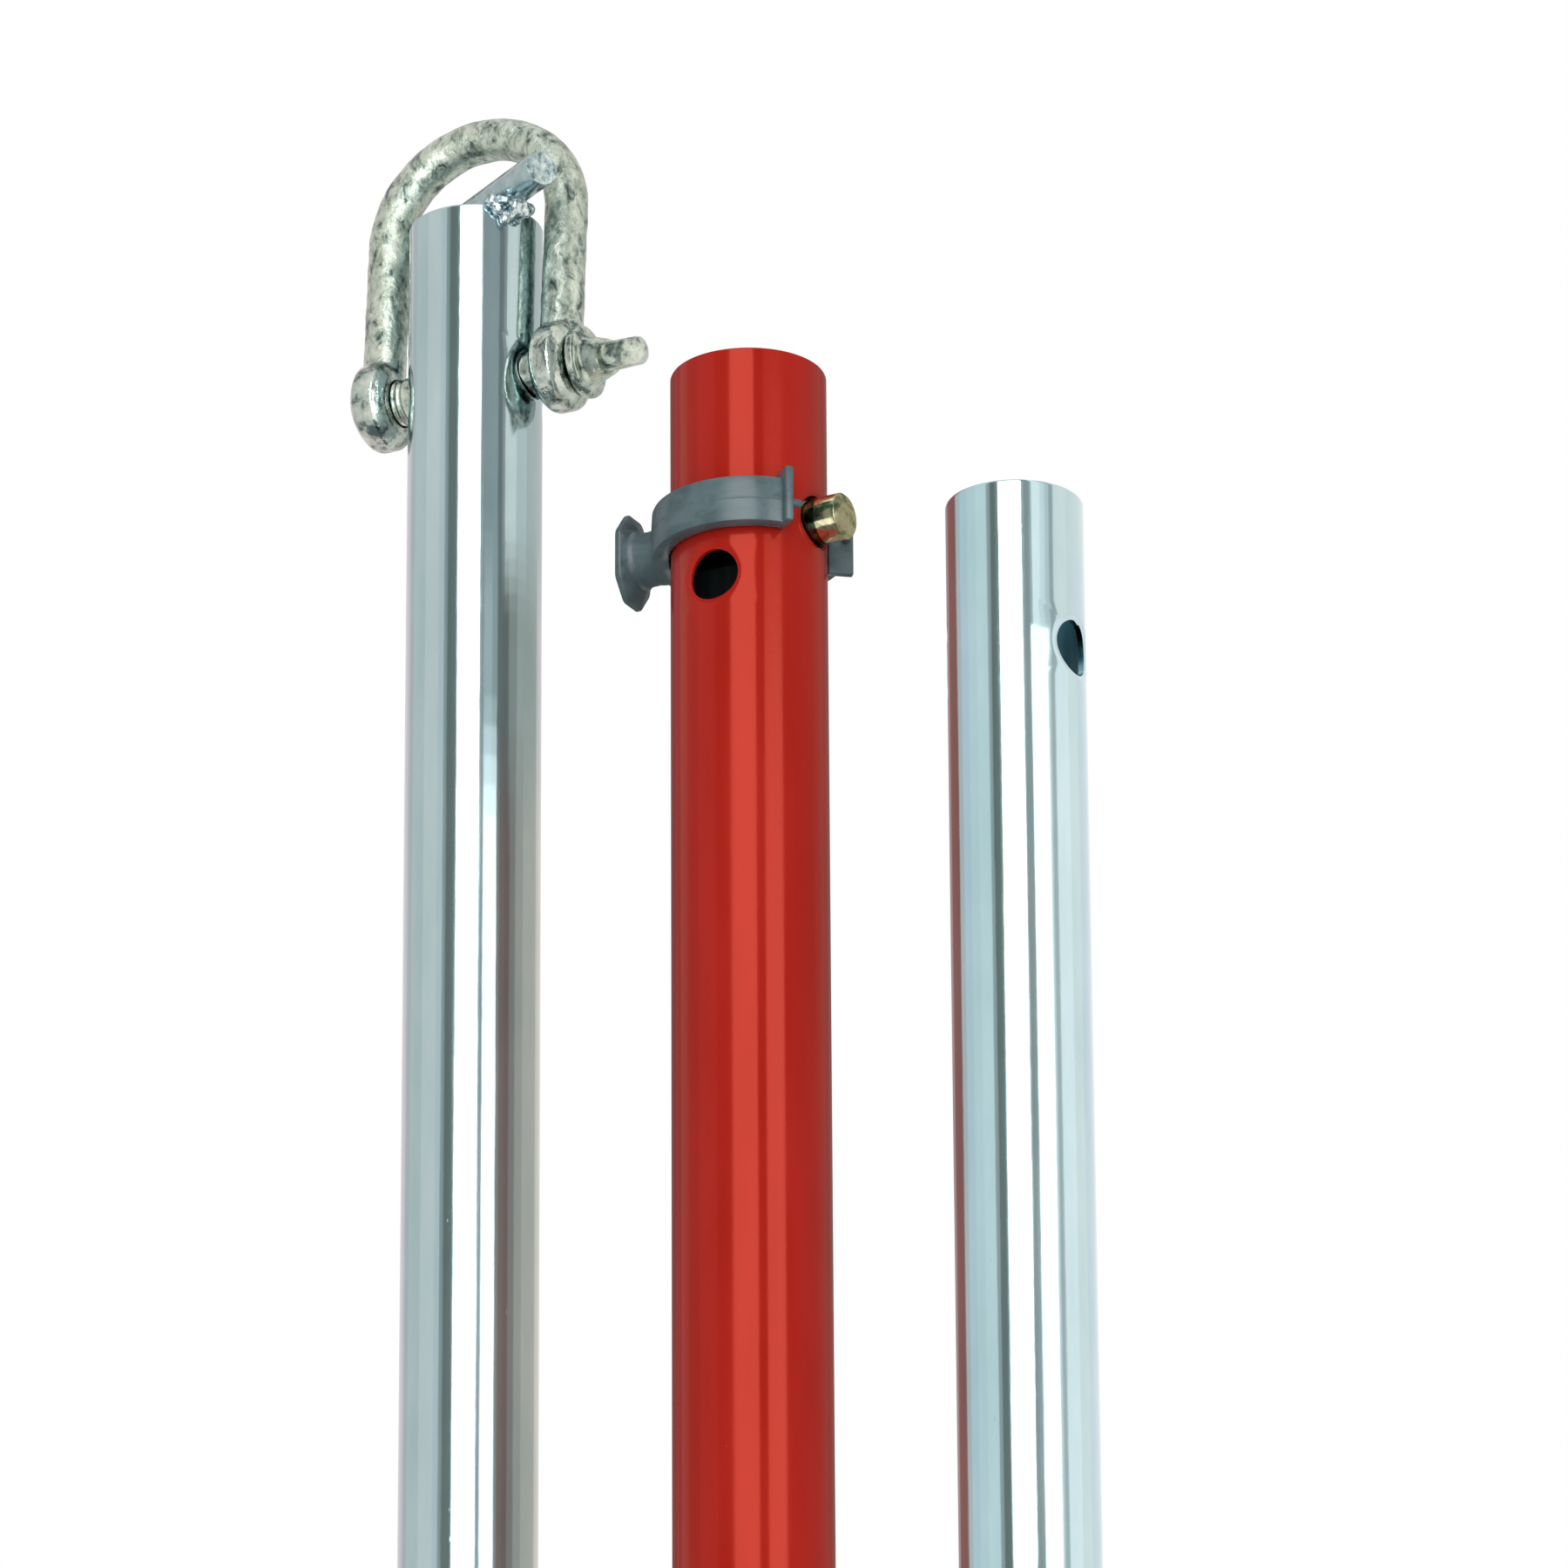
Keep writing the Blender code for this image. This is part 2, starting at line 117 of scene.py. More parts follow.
LOCK_PIN_RADIUS = 5.75 * MM
LOCK_PIN_TIP = 26.8 * MM
LOCK_PIN_ROOT = -28.5 * MM
LOCK_PIN_SHADE_END = 20.6 * MM  # the pin is painted dark up to here, as painted shade where it sits in the tube
CLIP_INNER = 19.3 * MM
CLIP_OUTER = 23.7 * MM
CLIP_HEIGHT = 11.8 * MM
CLIP_HUB_EXTRA = 2.2 * MM
CLIP_ARM_ANGLE = math.radians(141.0)
FLANGE_OUTER = 25.6 * MM
FLANGE_THICKNESS = 2.0 * MM
FLANGE_STEP = 2.4 * MM
NUB_PLACE = 23.8 * MM
TAB_PLACE = 31.5 * MM

PLUG_FLANGE = 3.0 * MM
PLUG_DEPTH = 18.0 * MM

COLUMNS = 120  # vertices round a pole
COLUMN_ANGLE = 2 * math.pi / COLUMNS
HOLE_PITCH = 1.0 * MM  # spacing of the vertex rings beside a hole
HOLE_MARGIN = 2.4 * MM  # from the edge of a hole to the plain grid
FORGING_VOXEL = 0.42 * MM

Hole = namedtuple("Hole", "height turn radius sink")
Window = namedtuple("Window", "hole turn first last low high")


# ---- Mesh helpers ----
def to_object(name, bm, materials=()):
    mesh = bpy.data.meshes.new(name)
    bm.to_mesh(mesh)
    bm.free()
    for material in materials:
        mesh.materials.append(material)
    obj = bpy.data.objects.new(name, mesh)
    bpy.context.scene.collection.objects.link(obj)
    return reshade(obj, 38.0)


def apply_modifiers(obj):
    graph = bpy.context.evaluated_depsgraph_get()
    mesh = bpy.data.meshes.new_from_object(obj.evaluated_get(graph))
    obj.modifiers.clear()
    obj.data = mesh


def combine(obj, other, operation):
    """Joins, or cuts, one closed body with another, which is then removed."""
    modifier = obj.modifiers.new(operation, "BOOLEAN")
    modifier.operation = operation
    modifier.solver = "EXACT"
    modifier.object = other
    apply_modifiers(obj)
    bpy.data.objects.remove(other, do_unlink=True)
    return obj


def union(obj, others):
    for other in others:
        combine(obj, other, "UNION")


def place(obj, matrix):
    obj.data.transform(matrix)
    return obj


def stand(obj, node):
    """Moves a piece made round the Z axis to the axis of a tube."""
    centre = middle_of(node)
    return place(obj, Matrix.Translation((centre.x, centre.y, 0.0)))


def reshade(obj, sharp):
    """Smooth shading, except over edges sharper than this many degrees."""
    obj.data.shade_smooth()
    obj.data.set_sharp_from_angle(angle=math.radians(sharp))
    return obj


def bridge(bm, ring, other):
    for i in range(len(ring)):
        j = (i + 1) % len(ring)
        bm.faces.new((ring[i], ring[j], other[j], other[i]))


def polar(radius, angle, height):
    return (radius * math.cos(angle), radius * math.sin(angle), height)


def loft(bm, rings):
    """Closes a body through rings of vertices, with a flat cap at each end."""
    for ring, following in zip(rings, rings[1:]):
        bridge(bm, ring, following)
    bm.faces.new(rings[0])
    bm.faces.new(rings[-1])
    bmesh.ops.recalc_face_normals(bm, faces=bm.faces)


def turned(name, profile, steps, axis="Z"):
    """A closed body: (radius, height) points turned about an axis that both ends are on."""
    bm = bmesh.new()
    first = bm.verts.new((0.0, 0.0, profile[0][1]))
    last = bm.verts.new((0.0, 0.0, profile[-1][1]))
    rings = []
    for radius, height in profile[1:-1]:
        rings.append([bm.verts.new(polar(radius, 2 * math.pi * i / steps, height))
                      for i in range(steps)])
    for ring, following in zip(rings, rings[1:]):
        bridge(bm, ring, following)
    for i in range(steps):
        j = (i + 1) % steps
        bm.faces.new((first, rings[0][j], rings[0][i]))
        bm.faces.new((last, rings[-1][i], rings[-1][j]))
    bmesh.ops.recalc_face_normals(bm, faces=bm.faces)
    obj = to_object(name, bm)
    if axis == "X":
        place(obj, Matrix.Rotation(math.pi / 2, 4, "Y"))
    return obj


def block(name, size, round_edge):
    """A moulded block with rounded edges."""
    bm = bmesh.new()
    bmesh.ops.create_cube(bm, size=1.0)
    bmesh.ops.scale(bm, vec=size, verts=bm.verts)
    bmesh.ops.bevel(bm, geom=bm.edges[:], offset=round_edge, segments=3, affect="EDGES", profile=0.5)
    return to_object(name, bm)


def rod(name, radius, low, high, steps, round_edge=0.3 * MM, axis="X"):
    profile = [(0, low), (radius - round_edge, low), (radius - 0.3 * round_edge, low + 0.3 * round_edge),
               (radius, low + round_edge), (radius, high - round_edge),
               (radius - 0.3 * round_edge, high - 0.3 * round_edge), (radius - round_edge, high),
               (0, high)]
    return turned(name, profile, steps, axis)


def roughen(obj, scale, depth, seed, weight=lambda point: 1.0):
    """Moves each point along its normal by smooth noise, for a forged or cast skin."""
    offset = Vector((seed, 2 * seed, 3 * seed))
    normals = [vertex.normal.copy() for vertex in obj.data.vertices]
    for vertex, normal in zip(obj.data.vertices, normals):
        swell = noise.noise(vertex.co * scale + offset) + 0.5 * noise.noise(vertex.co * scale * 2.3)
        vertex.co += normal * swell * depth * weight(vertex.co)


def voxel_skin(obj, voxel, smoothing):
    remesh = obj.modifiers.new("Remesh", "REMESH")
    remesh.mode = "VOXEL"
    remesh.voxel_size = voxel
    remesh.use_smooth_shade = True
    soften = obj.modifiers.new("Soften", "SMOOTH")
    soften.iterations = smoothing
    soften.factor = 0.5
    apply_modifiers(obj)


def two_finishes(obj, plain, special, is_special):
    """Gives a piece two materials, the second on the faces whose middle is_special picks."""
    for material in (plain, special):
        obj.data.materials.append(material)
    for polygon in obj.data.polygons:
        polygon.material_index = int(is_special(polygon.center))


def finish_piece(obj, body, replaced, material=None):
    """Hands a piece to the frame: its body, its finish and the CAD nodes it stands for."""
    if material:
        obj.data.materials.clear()
        obj.data.materials.append(material)
    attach(obj, body)
    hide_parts(*replaced)


# ---- Materials ----
class Shader:
    """One Principled material, with short ways to add the textures that feed it."""

    def __init__(self, name, colour, roughness, metallic, **values):
        self.material = bpy.data.materials.new(name)
        self.material.use_nodes = True
        self.tree = self.material.node_tree
        self.principled = self.tree.nodes["Principled BSDF"]
        self.set("Base Color", (*colour, 1.0))
        self.set("Roughness", roughness)
        self.set("Metallic", metallic)
        for socket, value in values.items():
            self.set(socket.replace("_", " "), value)
        self.coordinates = self.tree.nodes.new("ShaderNodeTexCoord").outputs["Object"]

    def set(self, socket, value):
        self.principled.inputs[socket].default_value = value

    def link(self, output, socket):
        self.tree.links.new(output, self.principled.inputs[socket])

    def texture(self, kind, across, along):
        """A texture node with so many features a metre across (X and Y) and along Z."""
        mapping = self.tree.nodes.new("ShaderNodeMapping")
        mapping.inputs["Scale"].default_value = (across, across, along)
        self.tree.links.new(self.coordinates, mapping.inputs["Vector"])
        texture = self.tree.nodes.new(kind)
        texture.inputs["Scale"].default_value = 1.0
        self.tree.links.new(mapping.outputs["Vector"], texture.inputs["Vector"])
        return texture

    def noise(self, across, along=None, detail=4.0, roughness=0.55, distortion=0.0):
        texture = self.texture("ShaderNodeTexNoise", across, along or across)
        for name, value in zip(("Detail", "Roughness", "Distortion"), (detail, roughness, distortion)):
            texture.inputs[name].default_value = value
        return texture.outputs["Fac"]

    def specks(self, across, along, size):
        """Small round spots, 1 at the middle of each spot and 0 between them."""
        cells = self.texture("ShaderNodeTexVoronoi", across, along)
        return self.remap(cells.outputs["Distance"], (0.0, size), (1.0, 0.0))

    def remap(self, output, source, target):
        node = self.tree.nodes.new("ShaderNodeMapRange")
        for name, value in zip(("From Min", "From Max", "To Min", "To Max"), (*source, *target)):
            node.inputs[name].default_value = value
        self.tree.links.new(output, node.inputs["Value"])
        return node.outputs["Result"]

    def ramp(self, output, stops):
        node = self.tree.nodes.new("ShaderNodeValToRGB")
        while len(node.color_ramp.elements) < len(stops):
            node.color_ramp.elements.new(0.5)
        for element, (position, colour) in zip(node.color_ramp.elements, stops):
            element.position = position
            element.color = (*colour, 1.0)
        self.tree.links.new(output, node.inputs["Fac"])
        return node.outputs["Color"]

    def bump(self, heights):
        """Stacks (height output, depth in millimetres) pairs into one bumped normal."""
        previous = None
        for output, depth in heights:
            node = self.tree.nodes.new("ShaderNodeBump")
            node.inputs["Distance"].default_value = depth * MM
            self.tree.links.new(output, node.inputs["Height"])
            if previous:
                self.tree.links.new(previous, node.inputs["Normal"])
            previous = node.outputs["Normal"]
        self.link(previous, "Normal")

    def finished(self, pattern, stops, marks, shine, bumps):
        """Colour from one texture and roughness from another, then the bumps."""
        self.link(self.ramp(pattern, stops), "Base Color")
        self.link(self.remap(marks, (0.3, 0.7), shine), "Roughness")
        self.bump(bumps)
        return self.material


def zinc_tube():
    """Bright zinc on drawn tube: fine lines along it, faint clouds and a few nicks."""
    shader = Shader("zinc_tube", (0.46, 0.57, 0.60), 0.10, 1.0)
    lines = shader.noise(1400, 9, detail=5.0)
    clouds = shader.noise(70, 22, roughness=0.6)
    nicks = shader.specks(420, 60, 0.05)
    return shader.finished(clouds, [(0.30, (0.41, 0.53, 0.56)), (0.70, (0.49, 0.60, 0.63))],
                           lines, (0.07, 0.14),
                           [(lines, 0.004), (clouds, 0.05), (nicks, 0.03)])


def bore_steel_painted_shade():
    """The unlit inside of the red tube: dull, streaked steel, its colour darkened to near black as
    painted shade.
    """
    shader = Shader("bore_steel_painted_shade", (0.012, 0.020, 0.024), 0.6, 0.2)
    streaks = shader.noise(500, 12)
    shader.link(shader.ramp(streaks, [(0.3, (0.005, 0.009, 0.011)), (0.7, (0.020, 0.034, 0.040))]),
                "Base Color")
    shader.bump([(streaks, 0.02)])
    return shader.material


def bore_zinc():
    """The inside of a galvanised tube: dull zinc with drips and white rust."""
    shader = Shader("bore_zinc", (0.32, 0.50, 0.55), 0.45, 1.0)
    drips = shader.noise(120, 25)
    return shader.finished(drips, [(0.35, (0.24, 0.42, 0.48)), (0.70, (0.42, 0.60, 0.64))],
                           drips, (0.35, 0.55), [(drips, 0.05)])


def red_paint():
    """Smooth gloss powder coat with faint orange peel and a little dust in it."""
    shader = Shader("red_paint", (0.20, 0.008, 0.005), 0.13, 0.0, Specular_IOR_Level=0.72,
                    Specular_Tint=(1.0, 0.20, 0.13, 1.0))
    peel = shader.noise(420, detail=2.0)
    clouds = shader.noise(60, 14, detail=3.0)
    dust = shader.specks(240, 150, 0.045)
    return shader.finished(clouds, [(0.35, (0.203, 0.007, 0.004)), (0.65, (0.228, 0.009, 0.006))],
                           clouds, (0.11, 0.17), [(peel, 0.010), (dust, 0.03)])


def forged_zinc():
    """Zinc over a hot-forged skin: pitted and mottled, bright on the high spots."""
    shader = Shader("forged_zinc", (0.56, 0.58, 0.50), 0.25, 1.0)
    scale = shader.noise(260, detail=6.0, roughness=0.7, distortion=0.6)
    pits = shader.noise(900, roughness=0.65)
    stains = shader.noise(330, 200, detail=5.0, roughness=0.7, distortion=0.5)
    return shader.finished(stains, [(0.35, (0.06, 0.09, 0.09)), (0.43, (0.30, 0.36, 0.31)),
                                    (0.52, (0.52, 0.58, 0.50)), (0.66, (0.68, 0.73, 0.65))],
                           scale, (0.14, 0.36), [(scale, 0.42), (pits, 0.10)])


def pressed_zinc():
    """Zinc over the pressed ears: smooth, with shallow dents and a few dark stains."""
    shader = Shader("pressed_zinc", (0.60, 0.62, 0.54), 0.15, 1.0)
    dents = shader.noise(170, roughness=0.6)
    stains = shader.noise(210, detail=5.0, roughness=0.65)
    return shader.finished(stains, [(0.38, (0.09, 0.13, 0.13)), (0.47, (0.44, 0.50, 0.45)),
                                    (0.66, (0.66, 0.71, 0.64))],
                           dents, (0.10, 0.22), [(dents, 0.50)])


def pin_zinc():
    """Zinc over a turned and stamped pin: smoother than the bow, with light tool marks."""
    shader = Shader("pin_zinc", (0.60, 0.62, 0.54), 0.16, 1.0)
    marks = shader.noise(300, detail=5.0, roughness=0.6)
    return shader.finished(marks, [(0.37, (0.10, 0.14, 0.13)), (0.46, (0.42, 0.48, 0.42)),
                                   (0.66, (0.66, 0.70, 0.62))],
                           marks, (0.10, 0.22), [(marks, 0.22)])


def bar_zinc():
    """Zinc over the drawn bar: clean, with faint marks."""
    shader = Shader("bar_zinc", (0.38, 0.48, 0.50), 0.16, 1.0)
    marks = shader.noise(350)
    return shader.finished(marks, [(0.3, (0.30, 0.40, 0.43)), (0.7, (0.45, 0.55, 0.57))],
                           marks, (0.12, 0.24), [(marks, 0.05)])


def sheared_zinc():
    """Zinc over the cropped ends of the bar: bright, torn and lumpy."""
    shader = Shader("sheared_zinc", (0.54, 0.68, 0.70), 0.25, 1.0)
    tears = shader.noise(420, roughness=0.6)
    return shader.finished(tears, [(0.36, (0.20, 0.30, 0.32)), (0.47, (0.54, 0.68, 0.70)),
                                   (0.64, (0.84, 0.92, 0.93))],
                           tears, (0.18, 0.40), [(tears, 0.45)])


def weld_metal():
    """Bright rippled weld with dark slag left in its low places."""
    shader = Shader("weld", (0.60, 0.68, 0.71), 0.16, 1.0)
    ripples = shader.noise(650, distortion=0.8)
    slag = shader.noise(480, roughness=0.65)
    return shader.finished(slag, [(0.38, (0.07, 0.13, 0.16)), (0.47, (0.40, 0.50, 0.54)),
                                  (0.60, (0.74, 0.81, 0.84))],
                           ripples, (0.10, 0.26), [(ripples, 0.26)])


def grey_plastic():
    """Satin moulded nylon with a fine spark-eroded grain and slight flow marks."""
    shader = Shader("grey_plastic", (0.042, 0.070, 0.078), 0.32, 0.0, Specular_IOR_Level=0.5)
    grain = shader.noise(1800, detail=2.0)
    flow = shader.noise(110, 200, detail=3.0, distortion=0.8)
    return shader.finished(flow, [(0.3, (0.030, 0.052, 0.058)), (0.7, (0.056, 0.088, 0.098))],
                           flow, (0.25, 0.36), [(grain, 0.012), (flow, 0.05)])


def yellow_zinc():
    """Yellow passivated zinc: straw with patches of green and rose."""
    shader = Shader("yellow_zinc", (0.62, 0.60, 0.30), 0.13, 1.0)
    patches = shader.noise(240, distortion=0.6)
    lines = shader.noise(900, detail=3.0)
    return shader.finished(patches, [(0.36, (0.16, 0.24, 0.15)), (0.46, (0.50, 0.52, 0.28)),
                                     (0.56, (0.86, 0.82, 0.50)), (0.72, (0.68, 0.50, 0.42))],
                           lines, (0.09, 0.20), [(lines, 0.02)])


def lock_pin_painted_shade():
    """The same plating, darkened with painted shade where the pin slides in its holes."""
    shader = Shader("lock_pin_painted_shade", (0.10, 0.13, 0.06), 0.18, 1.0)
    shade_mottle = shader.noise(260, roughness=0.6)
    return shader.finished(shade_mottle, [(0.36, (0.015, 0.020, 0.012)), (0.52, (0.08, 0.11, 0.05)),
                                    (0.70, (0.26, 0.30, 0.13))],
                           shade_mottle, (0.12, 0.30), [(shade_mottle, 0.03)])


def black_plastic():
    shader = Shader("black_plastic", (0.020, 0.020, 0.021), 0.5, 0.0)
    grain = shader.noise(1100, detail=3.0)
    wear = shader.noise(90)
    return shader.finished(wear, [(0.35, (0.014, 0.014, 0.015)), (0.75, (0.040, 0.040, 0.041))],
                           grain, (0.42, 0.62), [(grain, 0.03)])


# ---- Poles ----
def window_rows(hole):
    first = math.floor((hole.height - hole.radius - HOLE_MARGIN) / HOLE_PITCH)
    last = math.ceil((hole.height + hole.radius + HOLE_MARGIN) / HOLE_PITCH)
    return [k * HOLE_PITCH for k in range(first, last + 1)]


def pole_rows(low, high, holes):
    """Heights of the rings of vertices: rounded ends, and a fine lattice beside each hole."""
    ends = (0.0, 0.3 * RIM_ROUND, RIM_ROUND, 1.5 * RIM_ROUND, 3.0 * RIM_ROUND)
    rows = {low + end for end in ends} | {high - end for end in ends}
    for hole in holes:
        rows.update(window_rows(hole))
    return sorted(rows)


def pole_windows(radius, rows, holes):
    """The patches of the grid that each hole takes, on both sides of the pole."""
    windows = []
    for hole in holes:
        levels = window_rows(hole)
        half = math.ceil(math.asin((hole.radius + HOLE_MARGIN) / radius) / COLUMN_ANGLE)
        for turn in (hole.turn, hole.turn + math.pi):
            centre = round(turn / COLUMN_ANGLE)
            windows.append(Window(hole, turn, centre - half, centre + half,
                                  rows.index(levels[0]), rows.index(levels[-1])))
    return windows


def in_window(window, column, row, edge):
    """Whether a cell (edge 0), or a point clear of the border (edge 1), is in the window."""
    across = (column - window.first) % COLUMNS
    return (edge <= across < window.last - window.first
            and window.low + edge <= row < window.high)


def add_skin(bm, radius, rim, rows, windows, material_index):
    """One wall of a pole. Its end rings are drawn in, or out, by the rounding of the rim."""
    last = len(rows) - 1
    draw = {0: 1.0, 1: 0.3, last - 1: 0.3, last: 1.0}
    grid = {}
    for row, height in enumerate(rows):
        ring_radius = radius - rim * draw.get(row, 0.0)
        for column in range(COLUMNS):
            if not any(in_window(window, column, row, 1) for window in windows):
                grid[column, row] = bm.verts.new(polar(ring_radius, column * COLUMN_ANGLE, height))
    for row in range(last):
        for column in range(COLUMNS):
            if not any(in_window(window, column, row, 0) for window in windows):
                beside = (column + 1) % COLUMNS
                face = bm.faces.new((grid[column, row], grid[beside, row],
                                     grid[beside, row + 1], grid[column, row + 1]))
                face.material_index = material_index
    return grid


def border(window):
    """The window's edge, walked round as (column, row) pairs."""
    first, last, low, high = window.first, window.last, window.low, window.high
    return ([(column, low) for column in range(first, last)]
            + [(last, row) for row in range(low, high)]
            + [(column, high) for column in range(last, first, -1)]
            + [(first, row) for row in range(high, low, -1)])


def add_rim(bm, grid, window, rows, radius, sink, material_index):
    """Rings of faces from the window's edge in to its hole. Gives back the ring at the hole."""
    hole = window.hole
    walk = border(window)
    previous = [grid[column % COLUMNS, row] for column, row in walk]
    for reach, share in ((2.2, 0.0), (1.5, 0.06), (0.95, 0.20), (0.5, 0.42), (0.22, 0.64),
                         (0.07, 0.84), (0.0, 1.0)):
        ring = []
        for column, row in walk:
            across = radius * math.sin(column * COLUMN_ANGLE - window.turn)
            way = math.atan2(rows[row] - hole.height, across)
            spread = hole.radius + reach * MM
            angle = window.turn + math.asin(spread * math.cos(way) / radius)
            ring.append(bm.verts.new(polar(radius - sink * share, angle,
                                           hole.height + spread * math.sin(way))))
        count = len(bm.faces)
        bridge(bm, previous, ring)
        bm.faces.ensure_lookup_table()
        for face in bm.faces[count:]:
            face.material_index = material_index
        previous = ring
    return previous


def pole(node, wall, holes, material, bore):
    """A tube with rounded rims and cross holes whose edges are drawn in by the punch."""
    low, high = bottom_of(node), top_of(node)
    outer = radius_of(node)
    inner = outer - wall
    rows = pole_rows(low, high, holes)
    windows = pole_windows(inner, rows, holes)
    bm = bmesh.new()
    outside = add_skin(bm, outer, RIM_ROUND, rows, windows, 0)
    inside = add_skin(bm, inner, -RIM_ROUND, rows, windows, 1)
    for row in (0, len(rows) - 1):
        bridge(bm, [outside[column, row] for column in range(COLUMNS)],
               [inside[column, row] for column in range(COLUMNS)])
    for window in windows:
        near = add_rim(bm, outside, window, rows, outer, window.hole.sink, 0)
        far = add_rim(bm, inside, window, rows, inner, 0.0, 1)
        bridge(bm, near, far)
    bmesh.ops.recalc_face_normals(bm, faces=bm.faces)
    obj = to_object(node.replace("tube", "pole"), bm, (material, bore))
    return stand(obj, node)


def build_slim_pole(section, holes):
    obj = pole(f"{section}_tube", SLIM_WALL, holes, ZINC, ZINC_BORE)
    finish_piece(obj, f"{section}_section", [f"{section}_tube"])


def build_top_pole():
    build_slim_pole("top", [Hole(SHACKLE_CENTRE.z, SHACKLE_TURN, SHACKLE_HOLE_RADIUS, 0.25 * MM),
                            Hole(LOCK_HOLE_INSET, SHACKLE_TURN, LOCK_HOLE_RADIUS, 0.6 * MM)])


def build_middle_pole():
    top = top_of("middle_tube")
    holes = []
    for label, end, inward in (("upper", top, -1), ("lower", 0.0, 1)):
        pin_height = middle_of(f"{label}_lock_pin").z
        cross_height = end + inward * CROSS_INSET
        holes.append(Hole(pin_height, CLIP_TURN, SOCKET_HOLE_RADIUS, 0.35 * MM))
        holes.append(Hole(cross_height, CROSS_TURN, SOCKET_HOLE_RADIUS, 0.35 * MM))
    # the red pole's inside gets the near-black bore finish, which is painted shade
    obj = pole("middle_tube", SOCKET_WALL, holes, RED, BORE)
    finish_piece(obj, "middle_section", ["middle_tube"])


def build_bottom_pole():
    height = top_of("bottom_tube") - LOCK_HOLE_INSET
    build_slim_pole("bottom", [Hole(height, BOTTOM_TURN, LOCK_HOLE_RADIUS, 0.6 * MM)])


def build_end_plug():
    """The plastic foot of the bottom pole: a flange, and a body with three grip ribs."""
    radius = radius_of("bottom_tube")
    bore = radius - SLIM_WALL - GAP
    body = bore - 0.7 * MM
    profile = [(0, 1.2 * MM), (5.5 * MM, 1.2 * MM), (6.0 * MM, 0.9 * MM), (6.4 * MM, 0.2 * MM),
               (6.8 * MM, 0.0), (radius - 1.0 * MM, 0.0), (radius - 0.3 * MM, 0.3 * MM),
               (radius, 1.0 * MM), (radius, PLUG_FLANGE - 0.3 * MM),
               (radius - 0.3 * MM, PLUG_FLANGE), (body, PLUG_FLANGE)]
    for rib in (5.5, 9.5, 13.5):
        start = rib * MM
        profile += [(body, start), (bore, start + 0.8 * MM), (body, start + 2.0 * MM)]
    profile += [(body, PLUG_DEPTH - 1.2 * MM), (body - 1.2 * MM, PLUG_DEPTH), (0, PLUG_DEPTH)]
    obj = turned("end_plug", profile, 96)
    stand(obj, "bottom_tube")
    finish_piece(obj, "bottom_section", ["bottom_end_plug"], BLACK)


# ---- Shackle ----
SHACKLE_FRAME = Matrix.Translation(SHACKLE_CENTRE) @ Matrix.Rotation(SHACKLE_TURN, 4, "Z")


def bow_point(share):
    """A point on the bow's centre line, from the right ear (0) over the arch to the left (1)."""
    legs = BOW_ARCH_HEIGHT
    arch = math.pi * BOW_HALF_WIDTH
    along = share * (2 * legs + arch)
    if along <= legs:
        return Vector((BOW_HALF_WIDTH, 0, along))
    if along >= legs + arch:
        return Vector((-BOW_HALF_WIDTH, 0, 2 * legs + arch - along))
    angle = (along - legs) / BOW_HALF_WIDTH
    return Vector((BOW_HALF_WIDTH * math.cos(angle), 0, legs + BOW_HALF_WIDTH * math.sin(angle)))


def bow_rod():
    """The bent rod: round, a little flattened where the hammer and the former held it."""
    stations, sides = 110, 32
    bm = bmesh.new()
    rings = []
    for station in range(stations + 1):
        share = station / stations
        centre = bow_point(share)
        ahead = bow_point(min(1.0, share + 0.002)) - bow_point(max(0.0, share - 0.002))
        inward = ahead.normalized().cross(Vector((0, 1, 0)))
        ring = []
        for side in range(sides):
            angle = 2 * math.pi * side / sides
            reach = BOW_ROD * (1.0 - 0.02 * math.cos(2 * angle) * math.sin(math.pi * share))
            ring.append(bm.verts.new(centre + inward * (reach * math.cos(angle))
                                     + Vector((0, reach * math.sin(angle), 0))))
        rings.append(ring)
    loft(bm, rings)
    return to_object("shackle", bm)


def ear(side):
    """A forged ear: a thick disc, chamfered all round, with a flat boss about the pin."""
    t, r = EAR_HALF_THICKNESS, EAR_RADIUS
    half = [(7.9 * MM, t), (8.3 * MM, t - 0.15 * MM), (8.7 * MM, t - 0.55 * MM),
            (9.6 * MM, t - 1.0 * MM), (r - 0.5 * MM, t - 2.1 * MM), (r, t - 3.1 * MM),
            (r, 0.6 * MM)]
    lower = [(radius, -height) for radius, height in half]
    profile = [(0, -t)] + lower + [(radius, height) for radius, height in reversed(half)] + [(0, t)]
    obj = turned("ear", profile, 72, axis="X")
    return place(obj, Matrix.Translation((side * BOW_HALF_WIDTH, 0, 0)))


def on_ear(point):
    """Whether a point of the upright bow is on the smoother, pressed part of an ear."""
    return math.hypot(point.y, point.z) < EAR_RADIUS + 0.4 * MM


def build_bow():
    bow = bow_rod()
    union(bow, [ear(1), ear(-1)])
    voxel_skin(bow, FORGING_VOXEL, 2)

    def on_rod(point):
        """1 on the rod, less on the pressed ears."""
        return min(1.0, max(0.12, (point.z - 8 * MM) / (8 * MM)))

    roughen(bow, 160.0, 0.16 * MM, 3.1, on_rod)
    roughen(bow, 420.0, 0.08 * MM, 7.7, on_rod)
    two_finishes(bow, FORGED, PRESSED, on_ear)
    place(bow, Matrix.Translation((SHACKLE_SHIFT, 0, 0)) @ Matrix.Rotation(-SHACKLE_LEAN, 4, "X"))
    combine(bow, rod("ear_bore", PIN_RADIUS + GAP, -40 * MM, 40 * MM, 64), "DIFFERENCE")
    reshade(bow, 50.0)
    place(bow, SHACKLE_FRAME)
    finish_piece(bow, "shackle", ["shackle_bow"])


def thread(start, end, pitch, depth):
    """Profile points of a row of rolled thread crests."""
    points = []
    for i in range(int((end - start) / pitch)):
        low = start + i * pitch
        points += [(PIN_RADIUS - depth, low), (PIN_RADIUS, low + 0.45 * pitch),
                   (PIN_RADIUS, low + 0.60 * pitch)]
    return points


